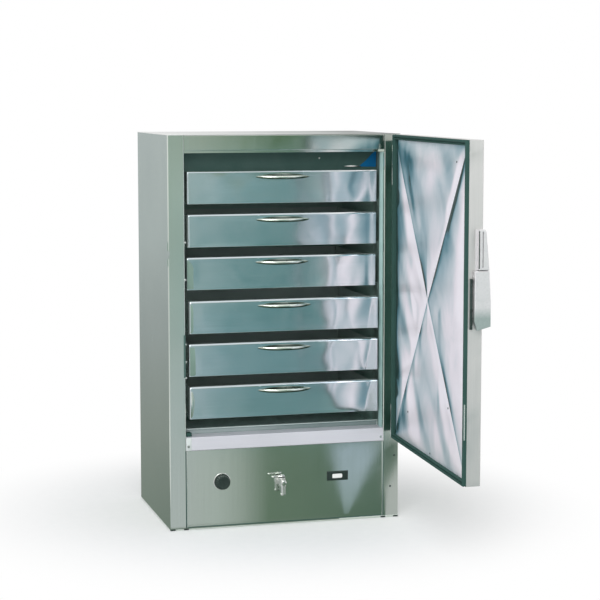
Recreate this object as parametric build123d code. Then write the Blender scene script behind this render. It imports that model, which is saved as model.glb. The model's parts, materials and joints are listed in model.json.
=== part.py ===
from build123d import *
import os

# Refrigerated fish cabinet: a steel carcass with one door, a stack of drawers and a machine space below.
# Millimetres. +Z is up, the front faces -Y, and the origin is on the floor under the carcass's middle.
# The door is stored open and some drawers are stored a little way out.

# Carcass
cabinet_width = 760.0
cabinet_depth = 500.0
cabinet_height = 1250.0
sheet = 1.5
fold_radius = 2.0
back_flange = 50.0
back_insulation = 45.0
liner_sheet = 1.0

# Front frame
stile_width = 53.0
stile_side_flange = 38.0
jamb_depth = 36.0
top_rail_height = 50.0
top_rail_flange = 20.0
top_rail_lip = 8.0
sill_height = 43.0
sill_flange = 20.0
sill_shelf = 60.0
pan_upstand_gap = 1.5
pan_upstand_height = 18.0
pan_upstand_hem = 3.0
base_lip = 8.0
access_panel_height = 246.5
access_panel_return = 12.0
panel_gap = 0.6

# Drawers: how far each front stands behind the front frame as stored, from the top drawer down
drawer_rest_recess = (40.0, 40.0, 48.0, 20.0, 22.0, 20.0)
drawer_home_recess = 48.0
drawer_gap = 34.0
drawer_side_gap = 16.0
space_over_drawers = 66.0
space_under_drawers = 54.5
front_return = 12.0
tray_sheet = 1.2
tray_inset = 11.0
tray_raise = 6.0
tray_drop = 6.0
tray_back_clearance = 10.0
tray_drain_radius = 6.0
tray_drain_setback = 25.0

# Slotted false bottom of a drawer
grid_height = 12.0
grid_fit = 1.5
grid_slot_width = 8.0
grid_slot_length = 60.0
grid_slot_bridge = 25.0
grid_slot_pitch = 32.0

# Drawer handle
handle_span = 174.0
handle_straight = 105.0
handle_reach = 22.0
handle_bar = 8.0
handle_bend = 12.0
handle_drop = 18.0

# Drawer runners
runner_sheet = 1.5
runner_leg = 22.0
runner_overlap = 8.0
runner_setback = 2.0
slide_clearance = 0.3

# Door
door_edge_gap = 2.0
door_top_gap = 1.0
door_sill_overlap = 22.5
door_thickness = 42.0
door_corner = 3.0
door_rest_angle = 87.0
gasket_width = 28.0
gasket_thickness = 12.0
gasket_round = 4.0
gasket_gap = 0.3
liner_crown = 4.0

# Hinges
hinge_height = 114.0
hinge_leaf = 3.0
hinge_plate_width = 34.0
hinge_strap = 45.0
hinge_side_gap = 2.0
knuckle_radius = 6.0
hinge_pin_radius = 3.0
pin_clearance = 0.05
knuckle_gap = 0.3
upper_hinge_drop = 50.0
lower_hinge_raise = 5.0

# Edge latch
latch_pivot_height = 872.0
latch_pivot_out = 8.0
latch_pin_radius = 4.0
latch_thickness = 14.0
latch_clearance = 1.5
latch_plate_gap = 0.5
latch_round = 2.0
housing_rise = 130.0
housing_cover = 17.0
housing_top_reach = 4.0
housing_top_bevel = 8.0
housing_foot_reach = 13.5
housing_slot_width = 3.0
housing_slot_place = 5.0
housing_slot_margin = 6.0
lug_inset = 6.0
lug_half_height = 8.0
paddle_split = 2.5
paddle_rise = 14.5
paddle_length = 152.0
paddle_cover = 29.0
paddle_reach = 18.5
paddle_belly = 72.0
paddle_foot_bevel = 25.0
paddle_foot_step = 9.0
paddle_foot_slant = 11.0
nub_radius = 3.5
nub_offset = 34.0
strike_sheet = 2.5
strike_height = 25.0
strike_tip = 4.0
strike_lap = 1.5
strike_foot = 34.0

# Thermostat and its knob
knob_from_stile = 116.0
knob_height = 150.0
knob_radius = 25.0
knob_depth = 22.0
knob_skirt = 7.0
knob_step = 3.0
knob_round = 2.0
knob_standoff = 2.5
knob_mark = 2.0
dial_plate_radius = 27.5
dial_plate = 1.0
spindle_radius = 3.0
spindle_length = 22.0
spindle_end_gap = 4.0
bushing_radius = 5.5
thermostat_width = 44.0
thermostat_depth = 34.0
thermostat_tall = 40.0

# Drain tap and its lever
tap_x = -20.0
tap_height = 144.0
tap_flange_radius = 17.0
tap_flange = 4.0
tap_barrel_radius = 9.0
tap_barrel_length = 46.0
tap_elbow_radius = 10.0
tap_elbow_low = 12.0
tap_spout_radius = 8.0
tap_spout_drop = 42.0
tap_bore_radius = 5.0
tap_shank = 30.0
tap_valve_radius = 10.0
tap_valve_setback = 22.0
tap_valve_low = 12.0
tap_valve_high = 14.0
tap_plug_radius = 5.5
tap_plug_depth = 7.5
tap_plug_end_gap = 0.5
tap_port_radius = 4.0
lever_gap = 0.4
lever_head_radius = 9.0
lever_head_height = 7.0
lever_length = 34.0
lever_width = 8.0
lever_thickness = 5.0
lever_round = 3.5

# Panel thermometer
thermometer_from_stile = 155.0
thermometer_height = 148.0
thermometer_width = 70.0
thermometer_tall = 30.0
thermometer_bezel = 4.0
thermometer_round = 1.5
thermometer_border = 4.0
thermometer_depth = 45.0
window_width = 36.0
window_tall = 17.0
window_depth = 1.5
window_fit = 0.1
hole_clearance = 0.5

# Floor drain
drain_setback = 25.0
drain_outer_radius = 11.0
drain_inner_radius = 8.0
drain_bend = 25.0
drain_flange_radius = 18.0

# Refrigerant tubes and the evaporator under the ceiling
tube_radius = 5.0
tube_bend = 10.0
tube_lead = 10.0
pipe_gap = 15.0
pipe_clearance = 1.0
tube_pass_pairs = 3
coil_side_room = 87.0
coil_back_room = 82.5
coil_pass_pitch = 40.0
coil_drop = 32.0
coil_fin_height = 36.0
fin_pitch = 14.0
fin_sheet = 0.8

# Machine space
compressor_from_side = 190.0
compressor_setback = 190.0
compressor_radius = 70.0
compressor_height = 160.0
compressor_round = 23.0
compressor_foot = 4.0
compressor_foot_overhang = 15.0
compressor_foot_depth = 120.0
stub_length = 15.0
stub_wall = 1.0
suction_level = 118.0
discharge_level = 86.0
discharge_run = 45.0
condenser_left = 60.0
condenser_width = 260.0
condenser_depth = 40.0
condenser_setback = 14.0
condenser_first_pass = 45.0
condenser_head_room = 22.5
condenser_edge = 17.0
fan_radius = 85.0
fan_hub_radius = 16.0
fan_depth = 18.0
fan_gap = 10.0
fan_blades = 4
fan_blade_angle = 28.0
fan_blade_width = 52.0
fan_blade_sheet = 1.6
fan_blade_root = 3.0
fan_shaft_radius = 4.0
fan_shaft_end_gap = 2.0
fan_motor_radius = 35.0
fan_motor_length = 70.0
fan_motor_gap = 8.0
motor_stand_width = 35.0
motor_stand_depth = 40.0
motor_foot_width = 70.0
motor_foot_depth = 60.0
motor_foot = 3.0
drier_radius = 12.0
drier_length = 90.0
drier_x = -105.0
control_box_width = 120.0
control_box_depth = 80.0
control_box_tall = 118.0
control_box_x = 100.0
control_box_y = -20.0
control_box_wall = 2.0

# Rear vent and cable gland
vent_bottom = 25.0
vent_top = 235.0
vent_lap = 14.0
vent_slot = 7.0
vent_pitch = 18.0
vent_gland_gap = 20.0
gland_inset = 35.0
gland_height = 60.0
gland_bore = 5.0
gland_neck = 8.0
gland_nut = 11.0
gland_outside = 16.0
gland_inside = 8.0

# Screws
screw_radius = 4.0
screw_head = 2.2
screw_round = 1.5
screw_setback = 10.0
jamb_screw_heights = (914.0, 797.0, 593.0, 537.0, 487.0)
sill_screw_inset = 8.0
sill_screw_raise = 14.0

# Places worked out from the sizes above
half_width = cabinet_width / 2
front = -cabinet_depth / 2
back = cabinet_depth / 2
half_sheet = sheet / 2
opening_half = half_width - stile_width
under_top = cabinet_height - sheet
ceiling = cabinet_height - top_rail_height
sill_bottom = base_lip + access_panel_height
sill_top = sill_bottom + sill_height
floor_top = sill_top - sheet
floor_bottom = floor_top - sheet
back_inner = back - sheet - back_insulation - liner_sheet
liner_front = front + jamb_depth
behind_panel = front + sheet

drawer_count = len(drawer_rest_recess)
drawer_stack = ceiling - space_over_drawers - sill_top - space_under_drawers
front_height = (drawer_stack - (drawer_count - 1) * drawer_gap) / drawer_count
drawer_pitch = front_height + drawer_gap
front_half = opening_half - drawer_side_gap
tray_half = front_half - tray_inset
tray_length = back_inner - tray_back_clearance - (front + drawer_home_recess)
tray_top = front_height - tray_drop

door_hinge_edge = half_width - door_edge_gap
door_free_edge = -door_hinge_edge
door_bottom = sill_top - door_sill_overlap
door_top = cabinet_height - door_top_gap
door_inner = front - gasket_gap - gasket_thickness
door_outer = door_inner - door_thickness
hinge_x = door_hinge_edge + knuckle_radius + hinge_side_gap
hinge_y = door_outer
upper_hinge_bottom = door_top - upper_hinge_drop - hinge_height
lower_hinge_bottom = door_bottom + lower_hinge_raise

pivot_y = door_outer - latch_pivot_out
nub_y = pivot_y + nub_offset
latch_inside = -half_width - strike_sheet - latch_clearance
latch_outside = latch_inside - latch_thickness
latch_plate_outside = -half_width + latch_plate_gap
housing_bottom = latch_pivot_height + paddle_rise + paddle_split
housing_top = latch_pivot_height + housing_rise

knob_x = -opening_half + knob_from_stile
compressor_x = -half_width + compressor_from_side
thermometer_x = opening_half - thermometer_from_stile
valve_y = front - tap_valve_setback
spout_y = front - tap_barrel_length + tap_elbow_radius
drain_y = front + sill_shelf + drain_setback

tube_passes = 2 * tube_pass_pairs
pipe_room = tube_radius + pipe_clearance
pipe_y = back - sheet - 2 * tube_radius
coil_half = opening_half - coil_side_room
coil_level = ceiling - coil_drop
coil_back = back_inner - coil_back_room
coil_front = coil_back - (tube_passes - 1) * coil_pass_pitch
coil_end = -coil_half - coil_pass_pitch / 2 - tube_lead
suction_x = coil_end - 2 * tube_bend
liquid_x = suction_x - pipe_gap
compressor_y = back - compressor_setback
compressor_base = sheet + compressor_foot
condenser_y = back - sheet - condenser_setback - condenser_depth / 2
condenser_right = condenser_left + condenser_width
condenser_top = sill_bottom - condenser_head_room
condenser_last_pass = condenser_top - condenser_edge
condenser_pitch = (condenser_last_pass - condenser_first_pass) / (tube_passes - 1)
condenser_end = condenser_left - condenser_pitch / 2 - tube_lead
fan_x = (condenser_left + condenser_right) / 2
fan_z = (condenser_first_pass + condenser_last_pass) / 2
fan_back = condenser_y - condenser_depth / 2 - fan_gap
fan_front = fan_back - fan_depth
motor_back = fan_front - fan_motor_gap
motor_front = motor_back - fan_motor_length
gland_x = half_width - gland_inset
vent_half = gland_x - gland_nut - vent_gland_gap - vent_lap


def block(x, y, z):
    """Rectangular solid between three (low, high) pairs."""
    middle = [(low + high) / 2 for low, high in (x, y, z)]
    size = [high - low for low, high in (x, y, z)]
    return Pos(*middle) * Box(*size)


def around(middle, size):
    """A (low, high) pair about a middle."""
    return (middle - size / 2, middle + size / 2)


def rod(start, direction, radius, length):
    """Round bar from a point along a direction."""
    ends = (Align.CENTER, Align.CENTER, Align.MIN)
    return Plane(origin=start, z_dir=direction) * Cylinder(radius, length, align=ends)


def folded_upright(points, bottom, top):
    """Sheet folded along a line in plan, standing between two heights."""
    profile = trace(FilletPolyline(*points, radius=fold_radius), sheet)
    return Pos(0, 0, bottom) * extrude(profile, top - bottom)


def folded_across(points, half_length):
    """Sheet folded along a line in the Y-Z plane, running across the cabinet."""
    profile = trace(FilletPolyline(*points, radius=fold_radius), sheet)
    side = Plane(origin=(-half_length, 0, 0), x_dir=(0, 1, 0), z_dir=(1, 0, 0))
    return extrude(side * profile, 2 * half_length)


def tube(points, radius, bend):
    """Round bar bent along straight runs and equal arcs."""
    path = FilletPolyline(*points, radius=bend)
    return sweep(Plane(origin=path @ 0, z_dir=path % 0) * Circle(radius), path=path)


def side_profile(points, x_low, x_high):
    """Plate with an outline in the Y-Z plane, between two places across the cabinet."""
    face = make_face(Polyline(*points, close=True))
    side = Plane(origin=(x_low, 0, 0), x_dir=(0, 1, 0), z_dir=(1, 0, 0))
    return extrude(side * face, x_high - x_low)


def union(*pieces):
    """One solid from touching ones."""
    return pieces[0].fuse(*pieces[1:])


def hung(piece):
    """Turns a door piece from the closed place to the stored, open one."""
    return piece.rotate(Axis((hinge_x, hinge_y, 0), (0, 0, 1)), door_rest_angle)


# Carcass sheets

def base_pan():
    inside = half_width - sheet
    step = front + stile_side_flange
    rear = back - sheet
    corners = [
        (-opening_half, front), (opening_half, front), (opening_half, step), (inside, step),
        (inside, rear), (-inside, rear), (-inside, step), (-opening_half, step),
    ]
    plan = make_face(Polyline(*corners, close=True))
    plan = fillet(plan.vertices().sort_by(Axis.Y)[-2:], fold_radius)
    hollow = Pos(0, 0, sheet) * extrude(offset(plan, amount=-sheet), base_lip)
    return extrude(plan, base_lip) - hollow


def left_side_panel():
    deep = (front + stile_side_flange, back - back_flange)
    return block((-half_width, -half_width + sheet), deep, (0, under_top))


def back_panel():
    corner = half_width - half_sheet
    points = [
        (-corner, back - back_flange), (-corner, back - half_sheet),
        (corner, back - half_sheet), (corner, back - back_flange),
    ]
    through = (back - 2 * sheet, back + sheet)
    vent = block((-vent_half, vent_half), through, (vent_bottom, vent_top))
    neck_hole = rod((gland_x, through[0], gland_height), (0, 1, 0), gland_neck + hole_clearance, 3 * sheet)
    return folded_upright(points, 0, under_top) - vent - neck_hole


def top_panel():
    return block((-half_width, half_width), (front, back), (under_top, cabinet_height))


def left_stile():
    outside = -half_width + half_sheet
    reveal = -opening_half - half_sheet
    points = [
        (outside, front + stile_side_flange), (outside, front + half_sheet),
        (reveal, front + half_sheet), (reveal, liner_front),
    ]
    return folded_upright(points, 0, under_top)


def top_rail():
    lip = liner_front - half_sheet
    points = [
        (front + top_rail_flange, under_top - half_sheet), (front + half_sheet, under_top - half_sheet),
        (front + half_sheet, ceiling + half_sheet), (lip, ceiling + half_sheet),
        (lip, ceiling - top_rail_lip),
    ]
    return folded_across(points, opening_half)


def front_sill():
    points = [
        (front + sill_flange, sill_bottom + half_sheet), (front + half_sheet, sill_bottom + half_sheet),
        (front + half_sheet, sill_top - half_sheet), (front + sill_shelf, sill_top - half_sheet),
    ]
    return folded_across(points, opening_half)


def access_panel():
    edge = opening_half - panel_gap - half_sheet
    points = [
        (-edge, front + access_panel_return), (-edge, front + half_sheet),
        (edge, front + half_sheet), (edge, front + access_panel_return),
    ]
    through = (front - sheet, front + 2 * sheet)
    bushing_hole = panel_hole(knob_x, knob_height, bushing_radius)
    tap_hole = panel_hole(tap_x, tap_height, tap_barrel_radius)
    less = 2 * (thermometer_border - hole_clearance)
    cutout = block(
        around(thermometer_x, thermometer_width - less), through,
        around(thermometer_height, thermometer_tall - less),
    )
    return folded_upright(points, base_lip, sill_bottom) - bushing_hole - tap_hole - cutout


def panel_hole(x, z, radius):
    """Round hole through the access panel with clearance for what passes."""
    return rod((x, front - sheet, z), (0, 1, 0), radius + hole_clearance, 3 * sheet)


def rear_grille():
    reach = vent_half + vent_lap
    plate = block((-reach, reach), (back, back + sheet), (vent_bottom - vent_lap, vent_top + vent_lap))
    rows = int((vent_top - vent_bottom - vent_slot) // vent_pitch) + 1
    slots = []
    for row in range(rows):
        low = vent_bottom + vent_slot / 2 + row * vent_pitch
        for side in (-1, 1):
            across = around(side * vent_half / 2, vent_half - 2 * vent_lap)
            slots.append(block(across, (back, back + sheet), (low, low + vent_slot)))
    return plate.cut(*slots)


def cable_gland():
    outside = rod((gland_x, back, gland_height), (0, 1, 0), gland_nut, gland_outside)
    neck = rod((gland_x, back - 2 * sheet, gland_height), (0, 1, 0), gland_neck, 3 * sheet)
    nut = rod((gland_x, back - sheet, gland_height), (0, -1, 0), gland_nut, gland_inside)
    inner_end = back - sheet - gland_inside
    bore_length = gland_inside + sheet + gland_outside
    bore = rod((gland_x, inner_end, gland_height), (0, 1, 0), gland_bore, bore_length)
    return union(outside, neck, nut) - bore


# Linings and insulation

def wall_insulation():
    side_out = half_width - sheet
    side_in = opening_half + liner_sheet
    tall = (sill_bottom, under_top)
    behind_frame = front + max(stile_side_flange, jamb_depth)
    slab_front = back_inner + liner_sheet
    deep = (behind_frame, back - sheet - fold_radius)
    left = block((-side_out, -side_in), deep, tall)
    right = block((side_in, side_out), deep, tall)
    rear = block((-side_in, side_in), (slab_front, back - sheet), tall)
    roof = block((-side_in, side_in), (behind_frame, slab_front), (ceiling + liner_sheet, under_top))
    floor = block((-side_in, side_in), (behind_frame, slab_front), (sill_bottom, floor_bottom))
    chase_x = (liquid_x - pipe_room, suction_x + pipe_room)
    chase_front = pipe_y - tube_bend - pipe_clearance
    chase = block(chase_x, (chase_front, back), (sill_bottom, coil_level + pipe_room))
    entry = block(chase_x, (slab_front, back), around(coil_level, 2 * pipe_room))
    drain_room = drain_outer_radius + pipe_clearance
    drain_hole = rod((tap_x, drain_y, sill_bottom), (0, 0, 1), drain_room, sill_height)
    return [left, right, rear - chase - entry, roof, floor - drain_hole]


def inner_liner():
    outside = opening_half + liner_sheet
    deep = (liner_front, back_inner)
    tall = (floor_bottom, ceiling + liner_sheet)
    left = block((-outside, -opening_half), deep, tall)
    right = block((opening_half, outside), deep, tall)
    roof = block((-opening_half, opening_half), deep, (ceiling, ceiling + liner_sheet))
    rear = block((-outside, outside), (back_inner, back_inner + liner_sheet), tall)
    for x in (suction_x, liquid_x):
        rear = rear - rod((x, back_inner, coil_level), (0, 1, 0), pipe_room, liner_sheet)
    return [left, right, rear, roof]


def floor_pan():
    deep = (behind_panel + fold_radius, back_inner)
    across = (-opening_half, opening_half)
    plate = block(across, deep, (floor_bottom, floor_top))
    plate = plate - rod((tap_x, drain_y, floor_bottom), (0, 0, 1), drain_outer_radius, sheet)
    near = front + sill_shelf + pan_upstand_gap
    rim = floor_top + pan_upstand_height
    upstand = block(across, (near, near + sheet), (floor_bottom, rim))
    hem = block(across, (near - pan_upstand_hem, near), (rim - sheet, rim))
    return union(plate, upstand, hem)


def drain_pipe():
    points = [
        (tap_x, drain_y, floor_top), (tap_x, drain_y, tap_height), (tap_x, front + tap_shank, tap_height),
    ]
    path = FilletPolyline(*points, radius=drain_bend)
    section = Circle(drain_outer_radius) - Circle(drain_inner_radius)
    pipe = sweep(Plane(origin=path @ 0, z_dir=path % 0) * section, path=path)
    inlet = rod(points[0], (0, 0, 1), drain_inner_radius, sheet)
    flange = rod(points[0], (0, 0, 1), drain_flange_radius, sheet) - inlet
    return union(pipe, flange)


def drawer_runners():
    runners = []
    deep = (front + drawer_home_recess + front_return + runner_setback, back_inner)
    for number in range(drawer_count):
        seat = drawer_bottom(number) + tray_raise - slide_clearance
        leg = block((-opening_half, -opening_half + runner_sheet), deep, (seat - runner_leg, seat))
        shelf = block((-opening_half, -tray_half + runner_overlap), deep, (seat - runner_sheet, seat))
        left = union(leg, shelf)
        runners += [left, mirror(left, about=Plane.YZ)]
    return runners


# Drawers

def drawer_bottom(number):
    """Height of a drawer front's lower edge, counted from the top drawer."""
    return ceiling - space_over_drawers - front_height - number * drawer_pitch


def drawer_place(number):
    """Middle of a drawer front's lower edge, as stored."""
    return Pos(0, front + drawer_rest_recess[number], drawer_bottom(number))


def drawer_tray():
    inner_half = front_half - tray_sheet
    face = block((-front_half, front_half), (0, front_return), (0, front_height))
    pan_tall = (tray_sheet, front_height - tray_sheet)
    pan = block((-inner_half, inner_half), (tray_sheet, front_return), pan_tall)
    box = block((-tray_half, tray_half), (tray_sheet, tray_length), (tray_raise, tray_top))
    hollow = block(
        around(0, 2 * (tray_half - tray_sheet)), (2 * tray_sheet, tray_length - tray_sheet),
        (tray_raise + tray_sheet, tray_top),
    )
    drain = rod((0, tray_length - tray_drain_setback, tray_raise), (0, 0, 1), tray_drain_radius, tray_sheet)
    return union(face - pan, box - hollow - drain)


def drawer_grid():
    half = tray_half - tray_sheet - grid_fit
    near = 2 * tray_sheet + grid_fit
    far = tray_length - tray_sheet - grid_fit
    low = tray_raise + tray_sheet
    high = low + grid_height
    plate = block((-half, half), (near, far), (low, high))
    plate = plate - block(around(0, 2 * (half - tray_sheet)), (near, far), (low, high - tray_sheet))
    pitch = grid_slot_length + grid_slot_bridge
    columns = int((2 * half - grid_slot_length - 2 * grid_slot_width) // pitch) + 1
    rows = int((far - near - 3 * grid_slot_width) // grid_slot_pitch) + 1
    slots = []
    for column in range(columns):
        x = (column - (columns - 1) / 2) * pitch
        for row in range(rows):
            y = (near + far) / 2 + (row - (rows - 1) / 2) * grid_slot_pitch
            tall = (high - tray_sheet, high)
            slots.append(block(around(x, grid_slot_length), around(y, grid_slot_width), tall))
    return plate.cut(*slots)


def drawer_handle():
    end = handle_span / 2
    bend = handle_straight / 2
    sink = (end - bend) * handle_bar / handle_reach
    points = [
        (-end - sink, handle_bar, 0), (-bend, -handle_reach, 0),
        (bend, -handle_reach, 0), (end + sink, handle_bar, 0),
    ]
    bar = tube(points, handle_bar / 2, handle_bend)
    behind = block(around(0, 2 * handle_span), (0, handle_span), around(0, 2 * handle_bar))
    return Pos(0, 0, front_height - handle_drop) * (bar - behind)


# Door, built closed and then hung open

def door_skin():
    shell = block((door_free_edge, door_hinge_edge), (door_outer, door_inner), (door_bottom, door_top))
    shell = fillet(shell.faces().sort_by(Axis.Y)[0].edges(), door_corner)
    return hung(shell - door_inside(door_outer + sheet, door_inner))


def door_inside(near, far):
    """Block inside the door's edges, between two places through its thickness."""
    across = (door_free_edge + sheet, door_hinge_edge - sheet)
    return block(across, (near, far), (door_bottom + sheet, door_top - sheet))


def door_crown(seat):
    """Shallow pyramid inside the gasket, the cross-broken crown of the liner, rising from a plane."""
    half = door_hinge_edge - gasket_width
    low = door_bottom + gasket_width
    high = door_top - gasket_width
    base = [(x, seat, z) for x, z in ((-half, low), (half, low), (half, high), (-half, high))]
    apex = (0, seat + liner_crown, (low + high) / 2)
    faces = [Face(Wire.make_polygon(base))]
    for start, end in zip(base, base[1:] + base[:1]):
        faces.append(Face(Wire.make_polygon([start, end, apex])))
    return Solid(Shell(faces))


def door_insulation():
    seat = door_inner - liner_sheet
    return hung(union(door_inside(door_outer + sheet, seat), door_crown(seat)))


def door_liner():
    seat = door_inner - liner_sheet
    return hung(union(door_inside(seat, door_inner), door_crown(door_inner)) - door_crown(seat))


def door_gasket():
    deep = (door_inner, door_inner + gasket_thickness)
    across = door_hinge_edge - gasket_width
    ring = block((door_free_edge, door_hinge_edge), deep, (door_bottom, door_top))
    ring = ring - block((-across, across), deep, (door_bottom + gasket_width, door_top - gasket_width))
    return hung(fillet(ring.faces().sort_by(Axis.Y)[-1].edges(), gasket_round))


# Hinges: the cabinet leaf carries the pin and the lower knuckle, the door leaf lifts off

def hinge_cabinet_leaves():
    leaves = []
    across = (half_width, half_width + hinge_leaf)
    for bottom in (lower_hinge_bottom, upper_hinge_bottom):
        middle = bottom + hinge_height / 2
        plate = block(across, (front, front + hinge_plate_width), (bottom, bottom + hinge_height))
        arm = block(across, (hinge_y, front), (bottom, middle))
        knuckle = rod((hinge_x, hinge_y, bottom), (0, 0, 1), knuckle_radius, hinge_height / 2)
        pin = rod((hinge_x, hinge_y, bottom), (0, 0, 1), hinge_pin_radius, hinge_height)
        leaves.append(union(plate, arm, knuckle, pin))
    return leaves


def hinge_door_leaves():
    leaves = []
    deep = (door_outer - hinge_leaf, door_outer)
    for bottom in (lower_hinge_bottom, upper_hinge_bottom):
        top = bottom + hinge_height
        middle = bottom + hinge_height / 2 + knuckle_gap
        strap = block((door_hinge_edge - hinge_strap, door_hinge_edge), deep, (bottom, top))
        link = block((door_hinge_edge, hinge_x), deep, (middle, top))
        knuckle = rod((hinge_x, hinge_y, middle), (0, 0, 1), knuckle_radius, top - middle)
        bore = rod((hinge_x, hinge_y, middle), (0, 0, 1), hinge_pin_radius + pin_clearance, top - middle)
        leaves.append(hung(union(strap, link, knuckle) - bore))
    return leaves


# Edge latch: a housing on the door's free edge, a paddle that swings out, and a notched strike

def latch_housing():
    low = latch_pivot_height - lug_half_height
    plate_back = nub_y - nub_radius
    plate = block((latch_plate_outside, door_free_edge), (door_outer, plate_back), (low, housing_top))
    outline = [
        (door_outer + housing_cover, housing_bottom), (door_outer + housing_cover, housing_top),
        (door_outer, housing_top), (door_outer - housing_top_reach, housing_top - housing_top_bevel),
        (door_outer - housing_foot_reach, housing_bottom),
    ]
    casting = side_profile(outline, latch_outside, door_free_edge)
    casting = fillet(casting.faces().sort_by(Axis.X)[0].edges(), latch_round)
    slot_y = (door_outer + housing_slot_place, door_outer + housing_slot_place + housing_slot_width)
    slot_z = (housing_bottom + housing_slot_margin, housing_top - housing_slot_margin)
    slot = block((latch_outside, latch_outside + latch_thickness / 2), slot_y, slot_z)
    lug_face = latch_inside + latch_plate_gap
    lug = block(
        (lug_face, door_free_edge + lug_inset), (door_outer - housing_foot_reach, door_outer),
        (low, housing_bottom + lug_half_height),
    )
    pin = rod((lug_face, pivot_y, latch_pivot_height), (-1, 0, 0), latch_pin_radius, latch_thickness)
    return hung(union(plate, casting - slot, lug, pin))


def latch_paddle():
    top = latch_pivot_height + paddle_rise
    bottom = latch_pivot_height - paddle_length
    inner = door_outer + paddle_cover
    outer = door_outer - paddle_reach
    outline = [
        (inner, top), (inner, bottom + paddle_foot_bevel), (inner - paddle_foot_step, bottom),
        (outer, bottom + paddle_foot_slant), (outer, latch_pivot_height - paddle_belly),
        (door_outer - housing_foot_reach, top),
    ]
    paddle = side_profile(outline, latch_outside, latch_inside)
    paddle = fillet(paddle.faces().sort_by(Axis.X)[0].edges(), latch_round)
    bore_radius = latch_pin_radius + pin_clearance
    bore = rod((latch_inside, pivot_y, latch_pivot_height), (-1, 0, 0), bore_radius, latch_thickness)
    nub_length = latch_clearance + strike_sheet
    nub = rod((latch_inside, nub_y, latch_pivot_height), (1, 0, 0), nub_radius, nub_length)
    return hung(union(paddle - bore, nub))


def latch_strike():
    bottom = latch_pivot_height - nub_radius - strike_lap
    top = bottom + strike_height
    half_notch = nub_radius + latch_clearance
    across = (-half_width - strike_sheet, -half_width)
    arm = block(across, (nub_y - half_notch - strike_tip, front + strike_foot), (bottom, top))
    foot = block(across, (front, front + strike_foot), (bottom - strike_height, top + strike_height))
    notch = block(across, around(nub_y, 2 * half_notch), (bottom, latch_pivot_height + half_notch))
    return union(arm, foot) - notch


# Controls

def thermostat():
    case = block(
        around(knob_x, thermostat_width), (behind_panel, behind_panel + thermostat_depth),
        around(knob_height, thermostat_tall),
    )
    plate = rod((knob_x, front, knob_height), (0, -1, 0), dial_plate_radius, dial_plate)
    neck = rod((knob_x, behind_panel, knob_height), (0, -1, 0), bushing_radius, sheet + dial_plate)
    bore_start = (knob_x, front - dial_plate, knob_height)
    bore_length = dial_plate - knob_standoff + spindle_length + spindle_end_gap
    bore = rod(bore_start, (0, 1, 0), spindle_radius + pin_clearance, bore_length)
    return union(case, neck, plate) - bore


def thermostat_knob():
    near = front - knob_standoff
    skirt = rod((knob_x, near, knob_height), (0, -1, 0), knob_radius, knob_skirt)
    grip = rod((knob_x, near, knob_height), (0, -1, 0), knob_radius - knob_step, knob_depth)
    body = union(skirt, grip)
    body = fillet(body.edges().group_by(Axis.Y)[0], knob_round)
    mark = block(
        around(knob_x, knob_mark), (near - knob_depth, near - knob_depth + knob_mark / 2),
        (knob_height + knob_radius / 2, knob_height + knob_radius),
    )
    spindle = rod((knob_x, near, knob_height), (0, 1, 0), spindle_radius, spindle_length)
    return union(body - mark, spindle)


def drain_tap():
    flange = rod((tap_x, front, tap_height), (0, -1, 0), tap_flange_radius, tap_flange)
    inlet = (tap_x, front + tap_shank, tap_height)
    barrel = rod(inlet, (0, -1, 0), tap_barrel_radius, tap_shank + tap_barrel_length)
    elbow_bottom = (tap_x, spout_y, tap_height - tap_elbow_low)
    elbow = rod(elbow_bottom, (0, 0, 1), tap_elbow_radius, tap_elbow_low + tap_elbow_radius)
    spout = rod((tap_x, spout_y, tap_height), (0, 0, -1), tap_spout_radius, tap_spout_drop)
    valve_start = (tap_x, valve_y, tap_height - tap_valve_low)
    valve = rod(valve_start, (0, 0, 1), tap_valve_radius, tap_valve_low + tap_valve_high)
    flow = rod(inlet, (0, -1, 0), tap_bore_radius, inlet[1] - spout_y)
    outlet = rod((tap_x, spout_y, tap_height), (0, 0, -1), tap_bore_radius, tap_spout_drop)
    seat_depth = tap_plug_depth + tap_plug_end_gap
    seat_start = (tap_x, valve_y, tap_height - seat_depth)
    seat = rod(seat_start, (0, 0, 1), tap_plug_radius + pin_clearance, seat_depth + tap_valve_high)
    return union(flange, barrel, elbow, spout, valve) - flow - outlet - seat


def tap_lever():
    head_bottom = tap_height + tap_valve_high + lever_gap
    plug_bottom = tap_height - tap_plug_depth
    plug = rod((tap_x, valve_y, plug_bottom), (0, 0, 1), tap_plug_radius, head_bottom - plug_bottom)
    port_start = (tap_x - tap_plug_radius, valve_y, tap_height)
    port = rod(port_start, (1, 0, 0), tap_port_radius, 2 * tap_plug_radius)
    head = rod((tap_x, valve_y, head_bottom), (0, 0, 1), lever_head_radius, lever_head_height)
    arm_middle = head_bottom + lever_head_height / 2
    arm_tall = around(arm_middle, lever_thickness)
    arm = block((tap_x - lever_length, tap_x), around(valve_y, lever_width), arm_tall)
    arm = fillet(arm.edges().filter_by(Axis.Z).sort_by(Axis.X)[:2], lever_round)
    return union(plug - port, head, arm)


def thermometer_case():
    across = around(thermometer_x, thermometer_width)
    tall = around(thermometer_height, thermometer_tall)
    bezel = block(across, (front - thermometer_bezel, front), tall)
    bezel = fillet(bezel.faces().sort_by(Axis.Y)[0].edges(), thermometer_round)
    less = 2 * thermometer_border
    body = block(
        around(thermometer_x, thermometer_width - less), (front, front + thermometer_depth),
        around(thermometer_height, thermometer_tall - less),
    )
    return union(bezel, body) - thermometer_window(window_fit)


def thermometer_window(grow):
    """The thermometer's window, or the space for it when grown on its four sides."""
    near = front - thermometer_bezel
    across = around(thermometer_x, window_width + 2 * grow)
    return block(across, (near, near + window_depth), around(thermometer_height, window_tall + 2 * grow))


# Refrigeration

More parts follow.
